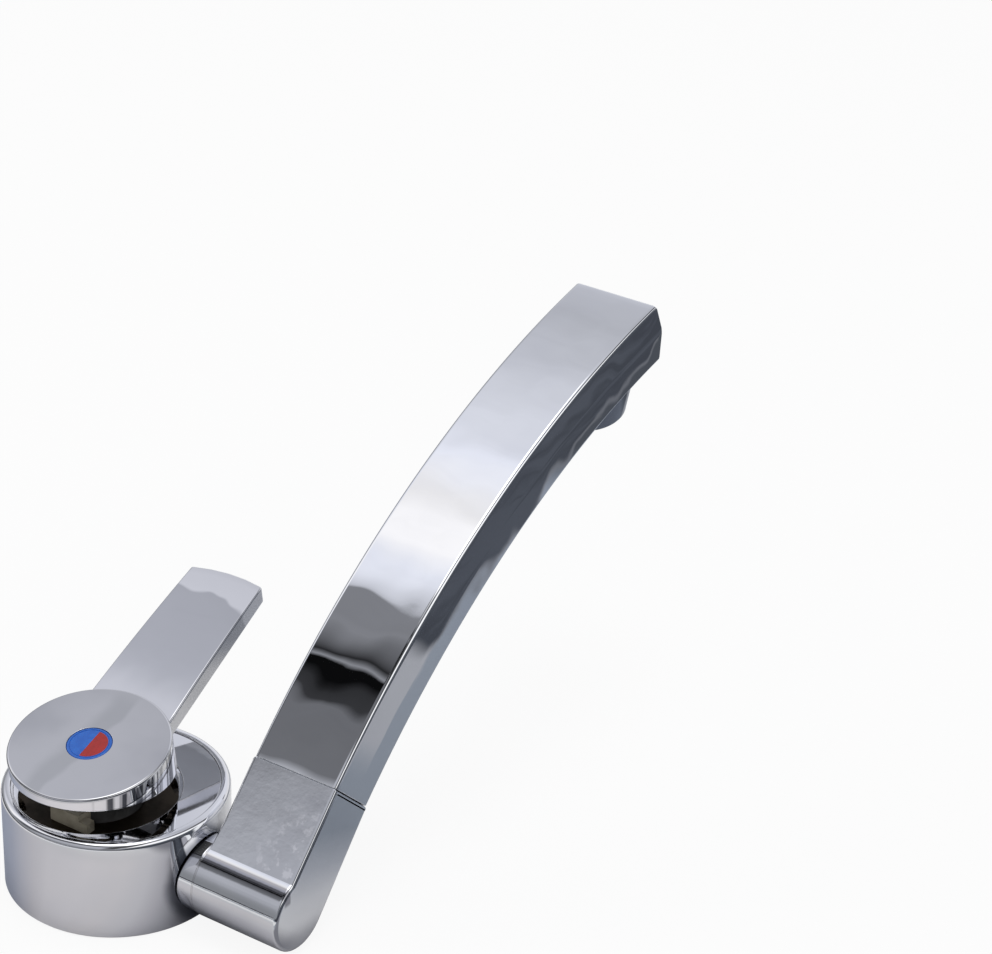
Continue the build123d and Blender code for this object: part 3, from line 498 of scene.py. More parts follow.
chromes = {
    # the body's mark: painted shade round the collar's root
    "bodyChrome": {"saddle": {
        "reach": (0.0094, 0.0122), "side": (0.016, 0.018), "ragged": (0.0016, 150),
        "colour": (0.26, 0.27, 0.3),
    }},
    # the collar's mark: a painted shade line where it meets the body
    "collarChrome": {"grime": {"reach": (0.02528, 0.0255), "colour": (0.03, 0.03, 0.035)}},
    "leverChrome": {
        # the lever's tones are painted darker than the body's chrome, as shade
        "tones": ((0.66, 0.66, 0.68), (0.54, 0.545, 0.57)), "rough": 0.03, "smudge": 0.06,
        "wave": (4.2e-5, 85, 1.5),
        # painted shade along the grip and a painted brighter reflection at the tip
        "haze": {
            "start": (0.01, 0.024), "end": (0.0425, 0.0437), "ragged": (0.012, 75),
            "colour": (0.5, 0.505, 0.53), "clean": (0.76, 0.76, 0.78),
        },
        # a painted darker reflection band on the head
        "streak": {
            "from": (-0.0082, -0.0045), "to": (-0.0022, -0.0008), "end": (0.006, 0.014),
            "ragged": (0.007, 70), "colour": (0.565, 0.57, 0.585),
        },
        # painted reflections on the head's side: highlight, shade and dark stripes
        "skirt": {
            "level": (0.0151, 0.0155), "behind": (0.004, 0.008), "left": (-0.0165, -0.0085),
            "right": (0.0085, 0.0125), "stripes": ((0.46, 0.54), 6.5),
            "dull": (0.44, 0.45, 0.48), "bright": (0.93, 0.93, 0.95), "dark": (0.1, 0.105, 0.12),
        },
    },
    "spoutChrome": {
        "tones": ((0.82, 0.83, 0.85), (0.78, 0.79, 0.82)), "rough": 0.01, "smudge": 0.022, "wipe": 0.012,
        "wave": (1.15e-4, 105, 0.0), "peel": (3e-7, 900),
    },
    "elbowChrome": {
        "tones": ((0.79, 0.8, 0.82), (0.7, 0.71, 0.74)), "rough": 0.04, "smudge": 0.12, "wipe": 0.04,
        "wave": (3.2e-5, 130, 1.5), "peel": (6e-6, 900),
        # painted glints on the elbow's face
        "specks": {
            "across": ((0.034, 0.045), (0.0488, 0.0494)), "height": ((0.0188, 0.0196), (0.026, 0.036)),
            "spots": ((0.52, 0.66), 420, 3, 0.6), "colour": (0.94, 0.94, 0.96),
        },
        # a painted dark reflection band along the barrel
        "band": {
            "crease": (-0.004, -0.0036), "end": (-0.0062, -0.0054), "above": (0.0145, 0.0155),
            "colour": (0.34, 0.34, 0.37),
        },
    },
    "nozzleChrome": {
        # the nozzle's tones are painted much darker than the other chrome, as shade under the spout
        "tones": ((0.34, 0.35, 0.38), (0.27, 0.28, 0.31)), "rough": 0.05, "smudge": 0.08,
        "wave": (8e-6, 90, 1.5),
    },
    "polishedSteel": {"tones": ((0.7, 0.7, 0.71), (0.64, 0.64, 0.66)), "rough": 0.05, "smudge": 0.06},
}
mouldings = {
    "blueEnamel": {
        "tones": ((0.018, 0.135, 0.56), (0.014, 0.105, 0.48)), "rough": 0.35, "coat": 0.15, "mottle": 600,
    },
    "redEnamel": {
        "tones": ((0.38, 0.016, 0.012), (0.31, 0.013, 0.01)), "rough": 0.35, "coat": 0.15, "mottle": 600,
    },
    # ivory painted darker, as shade in the well
    "ivoryPlastic": {"tones": ((0.36, 0.33, 0.265), (0.27, 0.245, 0.19)), "rough": 0.45, "mottle": 260},
    # black plastic, painted darker still as shade in the well
    "darkPlastic": {"tones": ((0.014, 0.013, 0.013), (0.007, 0.0065, 0.006)), "rough": 0.5},
    "shankPlastic": {"tones": ((0.6, 0.6, 0.58), (0.53, 0.53, 0.51)), "rough": 0.48},
    "nutPlastic": {"tones": ((0.34, 0.34, 0.33), (0.28, 0.28, 0.27)), "rough": 0.5},
    "whitePlastic": {"tones": ((0.72, 0.72, 0.7), (0.66, 0.66, 0.63)), "rough": 0.4},
    "tailPipe": {"tones": ((0.66, 0.66, 0.63), (0.58, 0.58, 0.55)), "rough": 0.38, "mottle": 90},
    "waterPipe": {"tones": ((0.62, 0.64, 0.64), (0.55, 0.57, 0.57)), "rough": 0.4},
    "sealRubber": {"tones": ((0.022, 0.022, 0.023), (0.034, 0.033, 0.032)), "rough": 0.68, "grain": 9e-6},
    "whiteCeramic": {
        "tones": ((0.8, 0.79, 0.76), (0.74, 0.73, 0.7)), "rough": 0.18, "rubbed": 0.06,
        "grain": 5e-7,
    },
    "hotRed": {"tones": ((0.52, 0.035, 0.028), (0.42, 0.026, 0.022)), "rough": 0.5},
    "coldBlue": {"tones": ((0.03, 0.13, 0.5), (0.022, 0.1, 0.42)), "rough": 0.5},
}
metals = {
    "nutBrass": {"tones": ((0.78, 0.6, 0.32), (0.62, 0.45, 0.22)), "rough": 0.26},
    # brass painted near black, as shade in the well
    "darkBrass": {"tones": ((0.06, 0.047, 0.034), (0.03, 0.024, 0.018)), "rough": 0.42},
    "plainSteel": {"tones": ((0.6, 0.61, 0.62), (0.48, 0.49, 0.5)), "rough": 0.28},
}
finish = {}
for make, looks in ((chromeFinish, chromes), (mouldedFinish, mouldings), (turnedFinish, metals)):
    finish |= {name: make(name, look) for name, look in looks.items()}
print("finishes made")

# Body: a turned cup with a rounded rim and an off-centre well
body = {
    "radius": 25.0, "height": 24.0, "rimRound": 1.4, "rimInside": 0.25, "footChamfer": 0.4,
    "wallLevels": (6.0, 12.0, 18.0), "recess": 22.9, "recessFloor": 21.2, "well": 17.5, "wellFloor": 16.75,
    "chamber": 13.0, "chamberFloor": 6.0, "shankHole": 15.05, "shankSeat": 3.5, "sealInner": 20.0,
    "sealOuter": 22.4, "sealDepth": 1.6,
}
keys = ("radius", "height", "footChamfer", "recessFloor", "chamberFloor")
wide, high, chamfer, shelf, bottom = (body[key] for key in keys)
outer = [(0, body["shankSeat"]), (body["shankHole"], body["shankSeat"]), (body["shankHole"], 0)]
outer += [(body["sealInner"], 0), (body["sealInner"], body["sealDepth"])]
outer += [(body["sealOuter"], body["sealDepth"]), (body["sealOuter"], 0)]
outer += [(wide - chamfer, 0), (wide, chamfer)]
outer += [(wide, level) for level in body["wallLevels"]]
outer += roundedCorner((wide, high), body["rimRound"], 0, 90, steps=8)
outer += roundedCorner((body["recess"], high), body["rimInside"], 90, 180, steps=3)
outer += [(body["recess"], shelf)]
well = [(body["well"], shelf), (body["well"], body["wellFloor"])]
well += [(body["chamber"], body["wellFloor"]), (body["chamber"], bottom), (0, bottom)]
bm = loft(turned(outer) + turned(well, cartridgeCentre))
addPiece("tapBody", bm, bodyMatrix, "bodyChrome", "tap_body", "chrome_body", "body_shell")

# Cover: recessed top plate with an off-centre mouth
cover = {"outer": 22.85, "mouth": 18.3, "low": 21.2, "high": 23.6, "edge": 0.4, "outerEdge": 0.15}
outer = [(cover["outer"], cover["low"])]
outer += roundedCorner((cover["outer"], cover["high"]), cover["outerEdge"], 0, 90, steps=3)
mouth = roundedCorner((cover["mouth"], cover["high"]), cover["edge"], 90, 180, steps=4)
mouth += [(cover["mouth"], cover["low"])]
bm = loft(turned(outer) + turned(mouth, cartridgeCentre) + turned(outer[:1]))
addPiece("coverPlate", bm, bodyMatrix, "bodyChrome", "tap_body", "chrome_cover", "cover_plate")

# Collar: sleeve saddled on the body's round side, with a fine joint line, and the washer on its end
collar = {
    "radius": 8.9, "bore": 5.3, "end": 27.5, "edge": 0.05, "joint": 0.34, "flare": (0.8, 1.3), "sunk": -0.3,
    "washer": 8.88, "washerSides": (0.02, 0.43), "points": 112,
}


def collarRing(radius, x=None, fromBody=0.0):
    # a ring round the axle: flat at x, or at a distance from the body's round side
    points = []
    for i in range(collar["points"]):
        a = 2 * pi * i / collar["points"]
        y, z = radius * cos(a), radius * sin(a)
        side = sqrt(body["radius"] ** 2 - y * y) + fromBody if x is None else x
        points.append((side, y, z + layout["axleHeight"]))
    return points


wide, bore, end, joint, sunk, washer = (
    collar[key] for key in ("radius", "bore", "end", "joint", "sunk", "washer")
)
neck = wide - joint
rings = [collarRing(neck, fromBody=sunk)]
for radius, flare in zip((neck, wide), collar["flare"]):
    rings.append(collarRing(radius, fromBody=joint * flare))
rings += [collarRing(*p) for p in roundedCorner((wide, end), collar["edge"], 0, 90, steps=4)]
rings += [collarRing(bore, end), collarRing(bore, fromBody=sunk)]
bm = loft(rings + rings[:1])
addPiece("axleCollar", bm, bodyMatrix, "collarChrome", "tap_body", "chrome_body", "axle_collar")
near, far = (end + side for side in collar["washerSides"])
rings = [collarRing(*side) for side in ((bore, near), (washer, near), (washer, far), (bore, far))]
bm = loft(rings + rings[:1])
addPiece("thrustWasher", bm, bodyMatrix, "polishedSteel", "tap_body", "steel", "thrust_washer")
print("body, cover and collar made")

# Lever: thin disc head with a sloping skirt, and a flat arm that leaves it below the top
lever = {
    "radius": 17.9, "top": 16.0, "depth": 7.1, "rimSlope": 13.8, "wall": 2.0, "crown": 2.6, "edge": 0.6,
    "rimEdge": 0.25, "rimSoft": 0.3, "innerEdge": 0.2, "faceRings": (9.0, 13.5), "boss": 6.5,
    "bossRound": 0.5, "bossDrop": 5.2, "badge": 5.05, "badgeDepth": 1.2, "badgeEdge": 0.12,
    "armLength": 57.5, "rootHalf": 10.9, "tipHalf": 9.4, "rootDrop": 2.5, "tipRise": 3.1, "thick": 4.2,
    "bow": 0.5, "tipBulge": 1.2, "armEdge": 0.5, "sunk": -1.2, "lap": 0.02, "blend": 0.8, "armSteps": 26,
    "chinLength": 5.5, "chinDepth": 3.2, "chinInset": 3.0, "chinEdge": 0.5, "chinLap": (0.3, 0.4),
    "chinSteps": 16, "chinRows": 10, "rootSteps": 4, "across": (0.5, 0.0, -0.5),
}
head = lever["radius"]


def rimRing(radius, lift):
    # follows the skirt's sloping rim, a little above it
    level = lever["top"] - lever["depth"] + lift
    return [(x, y, level - y * tan(radians(lever["rimSlope"]))) for x, y, _ in ringAt(radius, 0)]


top, rim, boss = lever["top"], lever["rimEdge"], lever["boss"]
crown, inner, soft = top - lever["crown"], head - lever["wall"], rim * lever["rimSoft"]
bossEnd, bossRound, edge = crown - lever["bossDrop"], lever["bossRound"], lever["innerEdge"]
face = [(0, top - lever["badgeDepth"]), (lever["badge"], top - lever["badgeDepth"])]
face += roundedCorner((lever["badge"], top), lever["badgeEdge"], 180, 90, steps=3)
face += [(radius, top) for radius in lever["faceRings"]]
face += roundedCorner((head, top), lever["edge"], 90, 0, steps=6)
skirt = [(head, rim * 2), (head, rim), (head - soft, soft), (head - rim, 0)]
skirt += [(inner + rim, 0), (inner + soft, soft), (inner, rim)]
inside = [(inner, crown - edge), (inner - edge, crown)]
inside += [(boss + bossRound, crown), (boss, crown - bossRound)]
inside += [(boss, bossEnd + edge), (boss - edge, bossEnd), (0, bossEnd)]
bm = loft(turned(face) + [rimRing(*place) for place in skirt] + turned(inside))

armRoot = sqrt(head ** 2 - lever["rootHalf"] ** 2)
armStart = armRoot - lever["wall"]
armTip = lever["armLength"] + lever["tipBulge"]
armSlope = (lever["tipRise"] + lever["rootDrop"]) / (lever["armLength"] - armRoot)
tipRound = (lever["tipHalf"] ** 2 + lever["tipBulge"] ** 2) / (2 * lever["tipBulge"])


def armLevels(reach):
    # top and underside of the arm at a distance from the head's centre
    straight = lever["top"] - lever["rootDrop"] + armSlope * (reach - armRoot)
    along = (reach - armStart) / (armTip + lever["tipBulge"] - armStart)
    top = straight + lever["bow"] * 4 * along * (1 - along)
    return top, straight - lever["thick"]


def armHalf(reach):
    narrowing = (lever["rootHalf"] - lever["tipHalf"]) / (lever["armLength"] - armStart)
    return lever["rootHalf"] - narrowing * (reach - armStart)


def armRing(reachOf, shrink):
    # one section; reachOf gives the reach at a side distance, shrink pulls the outline inwards
    edge = max(lever["armEdge"] - shrink, lever["lap"]) if shrink > 0 else lever["armEdge"]
    upper, lower = [], []
    for side in (1, -1):
        for dx, dz in arcPoints((0, 0), edge, 0, 90, steps=4)[::side]:
            reach = reachOf(0)
            for _ in range(3):  # the half width depends on the reach, and the reach on the half width
                x = side * (armHalf(reach) - shrink - edge + dx)
                reach = reachOf(x)
            top, bottom = armLevels(reach)
            upper.append((x, reach, top - shrink - edge + dz))
            lower.append((x, reach, bottom + shrink + edge - dz))
        if side > 0:
            for across in lever["across"]:
                x = across * (armHalf(reachOf(0)) - shrink)
                top, bottom = armLevels(reachOf(x))
                upper.append((x, reachOf(x), top - shrink))
                lower.append((x, reachOf(x), bottom + shrink))
    return upper + lower[::-1]


def skirtReach(extra):
    return lambda x: sqrt(max(head ** 2 - x * x, 0)) + extra


def tipReach(back):
    return lambda x: armTip - tipRound + sqrt(tipRound ** 2 - x * x) - back


def between(t):
    return lambda x: skirtReach(lever["blend"])(x) * (1 - t) + tipReach(lever["armEdge"])(x) * t


blend, edge, steps = lever["blend"], lever["armEdge"], lever["armSteps"]
rings = [armRing(skirtReach(lever["sunk"]), -blend)]
for k in range(lever["rootSteps"] + 1):  # the root flares out to the head
    gap = blend * k / lever["rootSteps"]
    flare = blend - sqrt(blend ** 2 - (blend - gap) ** 2)
    rings.append(armRing(skirtReach(gap - lever["lap"]), -flare))
rings += [armRing(between(t / steps), 0.0) for t in range(1, steps)]
for a in quarter(4):
    rings.append(armRing(tipReach(edge * (1 - sin(a))), edge * (1 - cos(a))))
loft(rings, "flat", "strips", bm)

# a narrower chin under the arm's root
chinHalf = lever["rootHalf"] - lever["chinInset"]
chinEnd = head + lever["chinLength"]


def chinRing(t):
    edge, count = lever["chinEdge"], lever["chinSteps"]
    points = []
    for i in range(count + 1):
        a = pi * i / count
        x = (edge - chinHalf if i <= count / 2 else chinHalf - edge) - edge * cos(a)
        start = skirtReach(lever["sunk"])(x)
        reach = start + (chinEnd - start) * t
        under = armLevels(reach)[1]
        low = under - lever["chinDepth"] * min((chinEnd - reach) / (chinEnd - armRoot), 1)
        points.append((x, reach, min(low + edge * (1 - sin(a)), under + lever["chinLap"][0])))
    ends = (points[-1], points[0])
    return points + [(x, reach, armLevels(reach)[1] + lever["chinLap"][1]) for x, reach, _ in ends]


rows = lever["chinRows"]
loft([chinRing(k / rows) for k in range(rows + 1)], "flat", "flat", bm)
addPiece("leverHead", bm, leverMatrix, "leverChrome", "lever", "chrome_lever", "lever_head")

# Indicator: blue disc with an inlaid red half
badge = {
    "radius": 5.0, "red": 4.1, "thick": 1.2, "inlay": 0.5, "edge": 0.3, "sunk": 0.03, "redEdge": 0.05,
    "split": 0.04, "groove": (4.22, 4.42), "grooveDepth": 0.1, "grooveSlope": 0.03, "points": 96,
}
face, under = lever["top"] - badge["sunk"], lever["top"] - badge["thick"]
start, end = badge["groove"]
deep, slope = face - badge["grooveDepth"], badge["grooveSlope"]
profile = [(0, under), (badge["radius"], under)]
profile += roundedCorner((badge["radius"], face), badge["edge"], 0, 90, steps=3)
profile += [(end, face), (end - slope, deep), (start + slope, deep), (start, face), (0, face)]
bm = loft(turned(profile, count=badge["points"]))
addPiece("indicatorBlue", bm, leverMatrix, "blueEnamel", "lever", "indicator_blue", "indicator_blue")
half = [(max(x, badge["split"]), y) for x, y in arcPoints((0, 0), badge["red"], -90, 90, steps=40)]
bm = prism(half, lever["top"] - badge["inlay"], lever["top"], badge["redEdge"])
addPiece("indicatorRed", bm, leverMatrix, "redEnamel", "lever", "indicator_red", "indicator_red")
print("lever made")

# Elbow: square block over a barrel on the axle
spout = {
    "start": 28.0, "width": 22.4, "thick": 15.7, "barrel": 9.0, "barrelSteps": 64,
    "blockLevels": (20.0, 12.0), "seam": 26.5, "groove": 0.25, "cheekEdge": 1.0, "innerEdge": 0.05,
    "blockEdge": 0.9, "edgeChange": (5.0, 13.0), "sharp": 24, "lean": 1.25, "bendRadius": 232.6,
    "bendAngle": 34.1, "tipBulge": 1.7,
    "ridge": 0.2, "ridgeHalf": 0.9, "ridgeDrop": 0.024, "ridgeBlunt": 0.005, "edge": 1.1, "leastEdge": 0.05,
    "tipEdge": 0.45, "seamRings": ((0.18, 0.03), (0.06, 0.1), (0, 0.22)), "armSteps": 72,
}
seam, groove, barrel = spout["seam"], spout["groove"], spout["barrel"]
middle = spout["start"] + spout["width"] / 2
halfThick = spout["thick"] / 2
cornerReach = hypot(seam, halfThick)
tangent = degrees(atan2(seam, halfThick) - acos(barrel / cornerReach))
crease = 180 - degrees(acos(halfThick / barrel))
outline = [(halfThick - groove, seam), (groove - halfThick, seam), (-halfThick, seam - groove)]
outline += [(-halfThick, level) for level in spout["blockLevels"]]
outline += arcPoints((0, 0), barrel, crease, 360 + tangent, spout["barrelSteps"])
outline += [(halfThick, seam - groove)]


def innerEdge(height):
    # sharp round the barrel and rounder up the block
    low, high = spout["edgeChange"]
    t = min(max((height - low) / (high - low), 0), 1)
    return spout["innerEdge"] + (spout["blockEdge"] - spout["innerEdge"]) * t * t * (3 - 2 * t)


def cheekRing(a, place, inwards, edgeOf):
    # one ring of a cheek's rounded edge; edgeOf gives the edge's radius at a height
    ring = []
    for i, point in enumerate(outline):
        edge = edgeOf(point[1])
        ring.append((place + inwards * edge * (1 - cos(a)), *inset(outline, edge * (1 - sin(a)))[i]))
    return ring


rings = [cheekRing(a, spout["start"], 1, innerEdge) for a in quarter(5)]
end = spout["start"] + spout["width"]
rings += [cheekRing(a, end, -1, lambda height: spout["cheekEdge"]) for a in quarter(5)[::-1]]
bm = loft(rings, "flat", "flat")
addPiece("elbow", bm, axleMatrix, "elbowChrome", "spout", "chrome_spout", "elbow", sharp=spout["sharp"])

# Spout arm: a straight bar that a Geometry Nodes tree bends along its arc
bendTree, bendInput = newTree("bendSpout", {
    "Bend Radius": "Float", "Lean": "Float", "Seam Height": "Float", "Middle": "Float",
})
curve, tipped = bendInput["Bend Radius"], bendInput["Lean"]
across, rise, along = curve.node("GeometryNodeInputPosition").parts()
turn = tipped + along / curve
outward = curve * tipped.maths("COSINE", tipped) - (rise + curve) * turn.maths("COSINE", turn)
upward = bendInput["Seam Height"] - curve * turn.maths("SINE", tipped)
upward = upward + (rise + curve) * turn.maths("SINE", turn)
bent = turn.node("ShaderNodeCombineXYZ", {0: across + bendInput["Middle"], 1: outward, 2: upward})
moved = bent.node("GeometryNodeSetPosition", {0: bendInput["Geometry"], "Position": bent})
closeTree(moved, "spoutChrome")


def spoutSection(shrink):
    # right half from the hollow side to the outer side, then the left half back
    edge = max(spout["edge"] - shrink, spout["leastEdge"])
    side = spout["width"] / 2 - shrink
    flat = side - spout["ridge"]
    low, high = shrink - halfThick, halfThick - shrink
    right = arcPoints((flat - edge, low + edge), edge, -90, 0, 5)
    right += [(side - spout["ridgeDrop"], -spout["ridgeHalf"]), (side - spout["ridgeBlunt"], 0)]
    right += [(side - spout["ridgeDrop"], spout["ridgeHalf"])]
    right += roundedCorner((flat, high), edge, 0, 90, steps=5)
    return right + [(-x, y) for x, y in right[::-1]]


bendRadius = spout["bendRadius"]
lean = radians(spout["lean"])
armRun = bendRadius * radians(spout["bendAngle"])
capRadius = (halfThick ** 2 + spout["tipBulge"] ** 2) / (2 * spout["tipBulge"])


def spoutRing(shrink, t, back=0.0):
    points = []
    for x, y in spoutSection(shrink):
        first = (asin(bendRadius * sin(lean) / (bendRadius + y)) - lean) * bendRadius
        last = armRun + spout["tipBulge"] - capRadius + sqrt(capRadius ** 2 - y * y)
        points.append((x, y, first + (last - first) * t + back))
    return points


rings = [spoutRing(shrink, 0, back) for shrink, back in spout["seamRings"]]
rings += [spoutRing(0, i / spout["armSteps"]) for i in range(1, spout["armSteps"])]
for a in quarter(5):
    rings.append(spoutRing(spout["tipEdge"] * (1 - cos(a)), 1, -spout["tipEdge"] * (1 - sin(a))))
bm = loft(rings, "flat", "strips")
bm = runTree(bendTree, bm, {
    "Bend Radius": bendRadius, "Lean": lean, "Seam Height": spout["seam"], "Middle": middle,
})
addPiece("spoutArm", bm, axleMatrix, "spoutChrome", "spout", "chrome_spout", "spout_arm")

# Nozzle: tapered ring under the tip
nozzle = {
    "setback": 14.6, "base": 10.6, "outlet": 8.4, "height": 7.9, "edge": 0.5, "bore": 7.05, "boreEdge": 0.15,
    "recess": 0.7, "insert": 2.8, "seat": 1.2, "seatGap": 0.05, "edgeStart": 15, "points": 112,
}
innerBend = bendRadius - halfThick
nozzleTurn = lean + radians(spout["bendAngle"]) - nozzle["setback"] / innerBend
nozzleBase = (
    middle,
    bendRadius * cos(lean) - innerBend * cos(nozzleTurn),
    spout["seam"] - bendRadius * sin(lean) + innerBend * sin(nozzleTurn),
)
inward = Vector((0, cos(nozzleTurn), -sin(nozzleTurn)))
nozzleMatrix = axleMatrix @ groupMatrix(nozzleBase, (1, 0, 0), inward.cross(Vector((1, 0, 0))), inward)
base, height, edge, bore = (nozzle[key] for key in ("base", "height", "edge", "bore"))
taper = (base - nozzle["outlet"]) / height
wide = nozzle["outlet"] + taper * edge
seat = height - nozzle["recess"] - nozzle["insert"] - nozzle["seatGap"]
profile = [(0, -nozzle["seat"]), (base, -nozzle["seat"]), (base, 0.0), (wide, height - edge)]
profile += roundedCorner((wide, height), edge, nozzle["edgeStart"], 90, steps=5)
profile += roundedCorner((bore, height), nozzle["boreEdge"], 90, 180, steps=3)
profile += [(bore, seat), (0, seat)]
bm = loft(turned(profile, count=nozzle["points"]))
addPiece("nozzle", bm, nozzleMatrix, "nozzleChrome", "spout", "chrome_nozzle", "nozzle")
print("spout made")

# Shank: its own shape with the core drawn in, and a thread that a Geometry Nodes tree winds round it
thread = {
    "radius": 15.0, "depth": 0.6, "pitch": 2.0, "low": -44.2, "high": -1.0, "runOut": 0.5, "sunk": 0.02,
    "shoulder": 0.6, "skin": 0.1, "sides": 64, "ridgeSides": 4,
}
threadTree, threadInput = newTree("windThread", {
    "Core": "Float", "Depth": "Float", "Pitch": "Float", "Length": "Float", "Sides": "Int",
})
length, around = threadInput["Length"], threadInput["Core"]
turns = length / threadInput["Pitch"]
helix = turns.node("GeometryNodeCurveSpiral", {
    "Resolution": threadInput["Sides"], "Rotations": turns, "Height": length,
    "Start Radius": around, "End Radius": around,
})
level = helix.node("GeometryNodeSetCurveNormal", {0: helix}, {"mode": "Z_UP"})
ridge = helix.node("GeometryNodeCurvePrimitiveCircle", {
    "Resolution": thread["ridgeSides"], "Radius": threadInput["Depth"],
})
sweep = {"Curve": level, "Profile Curve": ridge, "Fill Caps": True}
wound = helix.node("GeometryNodeCurveToMesh", sweep)
closeTree(wound, "shankPlastic")
core = thread["radius"] - thread["depth"] - thread["sunk"]
bm = runTree(threadTree, bmesh.new(), {
    "Core": core, "Depth": thread["depth"], "Pitch": thread["pitch"],
    "Length": thread["high"] - thread["low"] - 2 * thread["runOut"], "Sides": thread["sides"],
})
bm.transform(Matrix.Translation((0, 0, thread["low"] + thread["runOut"])))
addPiece("shankThread", bm, bodyMatrix, "shankPlastic", "tap_body", "shank_plastic")
bm = joinedSolid("mounting_shank")
bm.transform(Matrix.Scale(1 / millimetre, 4))
low, high, shoulder = thread["low"], thread["high"], thread["shoulder"]
for height in (low, low + shoulder, high - shoulder, high):
    bmesh.ops.bisect_plane(
        bm, geom=bm.verts[:] + bm.edges[:] + bm.faces[:], dist=meshing["cutReach"],
        plane_co=(0, 0, height), plane_no=(0, 0, 1),
    )
for vert in bm.verts:
    away = hypot(vert.co.x, vert.co.y)
    if away > thread["radius"] - thread["skin"] and low + shoulder / 2 < vert.co.z < high - shoulder / 2:
        vert.co.x, vert.co.y = vert.co.x * core / away, vert.co.y * core / away
addPiece(
    "mountingShank", bm, bodyMatrix, "shankPlastic", "tap_body", "shank_plastic", "mounting_shank",
    sharp=meshing["solidSharp"],
)

# Other nodes keep their CAD shape; those that can be seen get joined faces and smooth shading
dressed = {
    "retaining_nut": ("darkBrass", "nut_brass"),
    "cartridge_housing": ("darkPlastic", "dark_plastic"),
    "limit_stop": ("ivoryPlastic", "ivory_plastic"),
    "rotor": ("darkPlastic", "dark_plastic"),
    "spindle": ("plainSteel", "steel"),
    "clamp_gasket": ("sealRubber", "seal_rubber"),
    "clamp_washer": ("plainSteel", "steel"),
    "mounting_nut": ("nutPlastic", "shank_plastic"),
    "hot_tail": ("tailPipe", "tail_pipe"),
    "cold_tail": ("tailPipe", "tail_pipe"),
    "hot_band": ("hotRed", "hot_red"),
    "cold_band": ("coldBlue", "cold_blue"),
    "aerator_insert": ("whitePlastic", "white_plastic"),
    "base_seal": ("sealRubber", "seal_rubber"),
}
for node, (look, slotName) in dressed.items():
    piece = shadedPiece(node + "_dressed", joinedSolid(node), look, meshing["solidSharp"])
    settle(piece, frame["nodes"][node]["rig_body"], slotName, node)
hidden = {
    "plainSteel": ("pivot_pin", "lever_screw", "axle_screw"),
    "nutBrass": ("axle_tube",),
    "whiteCeramic": ("fixed_disc", "moving_disc"),
    "darkPlastic": ("disc_carrier",),
    "ivoryPlastic": ("cartridge_base",),
    "waterPipe": ("water_tube",),
    "whitePlastic": ("outlet_union",),
    "sealRubber": (
        "port_seals", "housing_seal", "axle_seals", "tube_seal", "union_seal", "aerator_seal", "tail_seals",
    ),
}
for look, nodes in hidden.items():
    for node in nodes:
        addMaterial(frame["nodes"][node], finish[look])
print("other parts dressed")

# Floor: pale worktop, in reflections bright round the foot and darker farther out, open from below
floor = {
    "size": 6.0, "drop": 0.0001, "pale": (0.88, 0.88, 0.89), "rough": 0.4, "lift": 0.9,
    "sway": (0.05, 14, 3), "swayReach": (0.05, 0.15),
    "mirrored": [  # by distance from the body's axis
        (0.055, (0.74, 0.735, 0.75)), (0.06, (0.86, 0.86, 0.87)),
        (0.07, (0.55, 0.57, 0.62)), (0.082, (0.34, 0.375, 0.43)), (0.23, (0.36, 0.4, 0.475)),
        (0.26, (0.1, 0.11, 0.13)), (0.6, (0.09, 0.1, 0.115)), (0.8, (0.24, 0.25, 0.27)),
        (1.0, (0.26, 0.27, 0.29)),
    ],
    "foot": {  # close round the body, by direction from a point in front of it
        "centre": (-0.001, -0.022), "reach": (0.05, 0.058), "stops": [
            (-180, (0.46, 0.485, 0.57)), (-163, (0.57, 0.58, 0.64)), (-140, (0.69, 0.68, 0.71)),
            (-115, (0.78, 0.765, 0.785)), (-60, (0.82, 0.8, 0.815)), (-20, (0.8, 0.78, 0.79)),
            (0, (0.74, 0.73, 0.75)), (12, (0.62, 0.61, 0.64)), (22, (0.46, 0.46, 0.49)),
            (30, (0.3, 0.3, 0.33)), (40, (0.12, 0.125, 0.14)), (54, (0.06, 0.065, 0.08)),
            (64, (0.16, 0.17, 0.2)), (78, (0.34, 0.36, 0.42)), (120, (0.4, 0.42, 0.5)),
            (150, (0.36, 0.38, 0.46)), (165, (0.42, 0.45, 0.54)), (180, (0.46, 0.485, 0.57)),
        ],
    },
    "mat": {
        "colour": (0.105, 0.116, 0.142), "streak": (0.075, 0.083, 0.102), "paper": (0.5, 0.51, 0.55),
        "edge": (0.0625, 0.0665), "slant": 0.22, "drift": (0.01, 26, 3), "start": (0.112, 0.124),
        "paperStart": (0.06, 0.08), "streaks": ((0.4, 0.62), 40, 3, 0.6, (2.2, 0.35, 1.0)),
    },
    "zones": (  # laid in turn; along each axis an edge to rise over and one to fall over
        {"tone": (1.0, 1.0, 1.0), "away": ((0.064, 0.072), (0.12, 0.14)), "y": (None, (-0.05, -0.036))},
        {"tone": (0.3, 0.3, 0.33), "x": ((0.05, 0.055), None), "y": ((-0.034, -0.022), (-0.002, 0.006))},
        {"tone": (0.9, 0.9, 0.92), "x": (None, (-0.07, -0.058))},
        {"tone": (0.07, 0.075, 0.09), "x": ((0.086, 0.1), None), "y": (None, (0.04, 0.06))},
        {  # left of and behind the spout: bright close up, mid grey farther out
            "tone": (1.0, 1.0, 1.0), "farTone": (0.54, 0.56, 0.61), "far": (0.084, 0.104),
            "x": (None, (0.044, 0.056)), "y": ((0.022, 0.034), None),
        },
        {"tone": (0.05, 0.053, 0.062), "x": (None, (-0.125, -0.108)), "y": (None, (0.05, 0.075))},
    ),
}


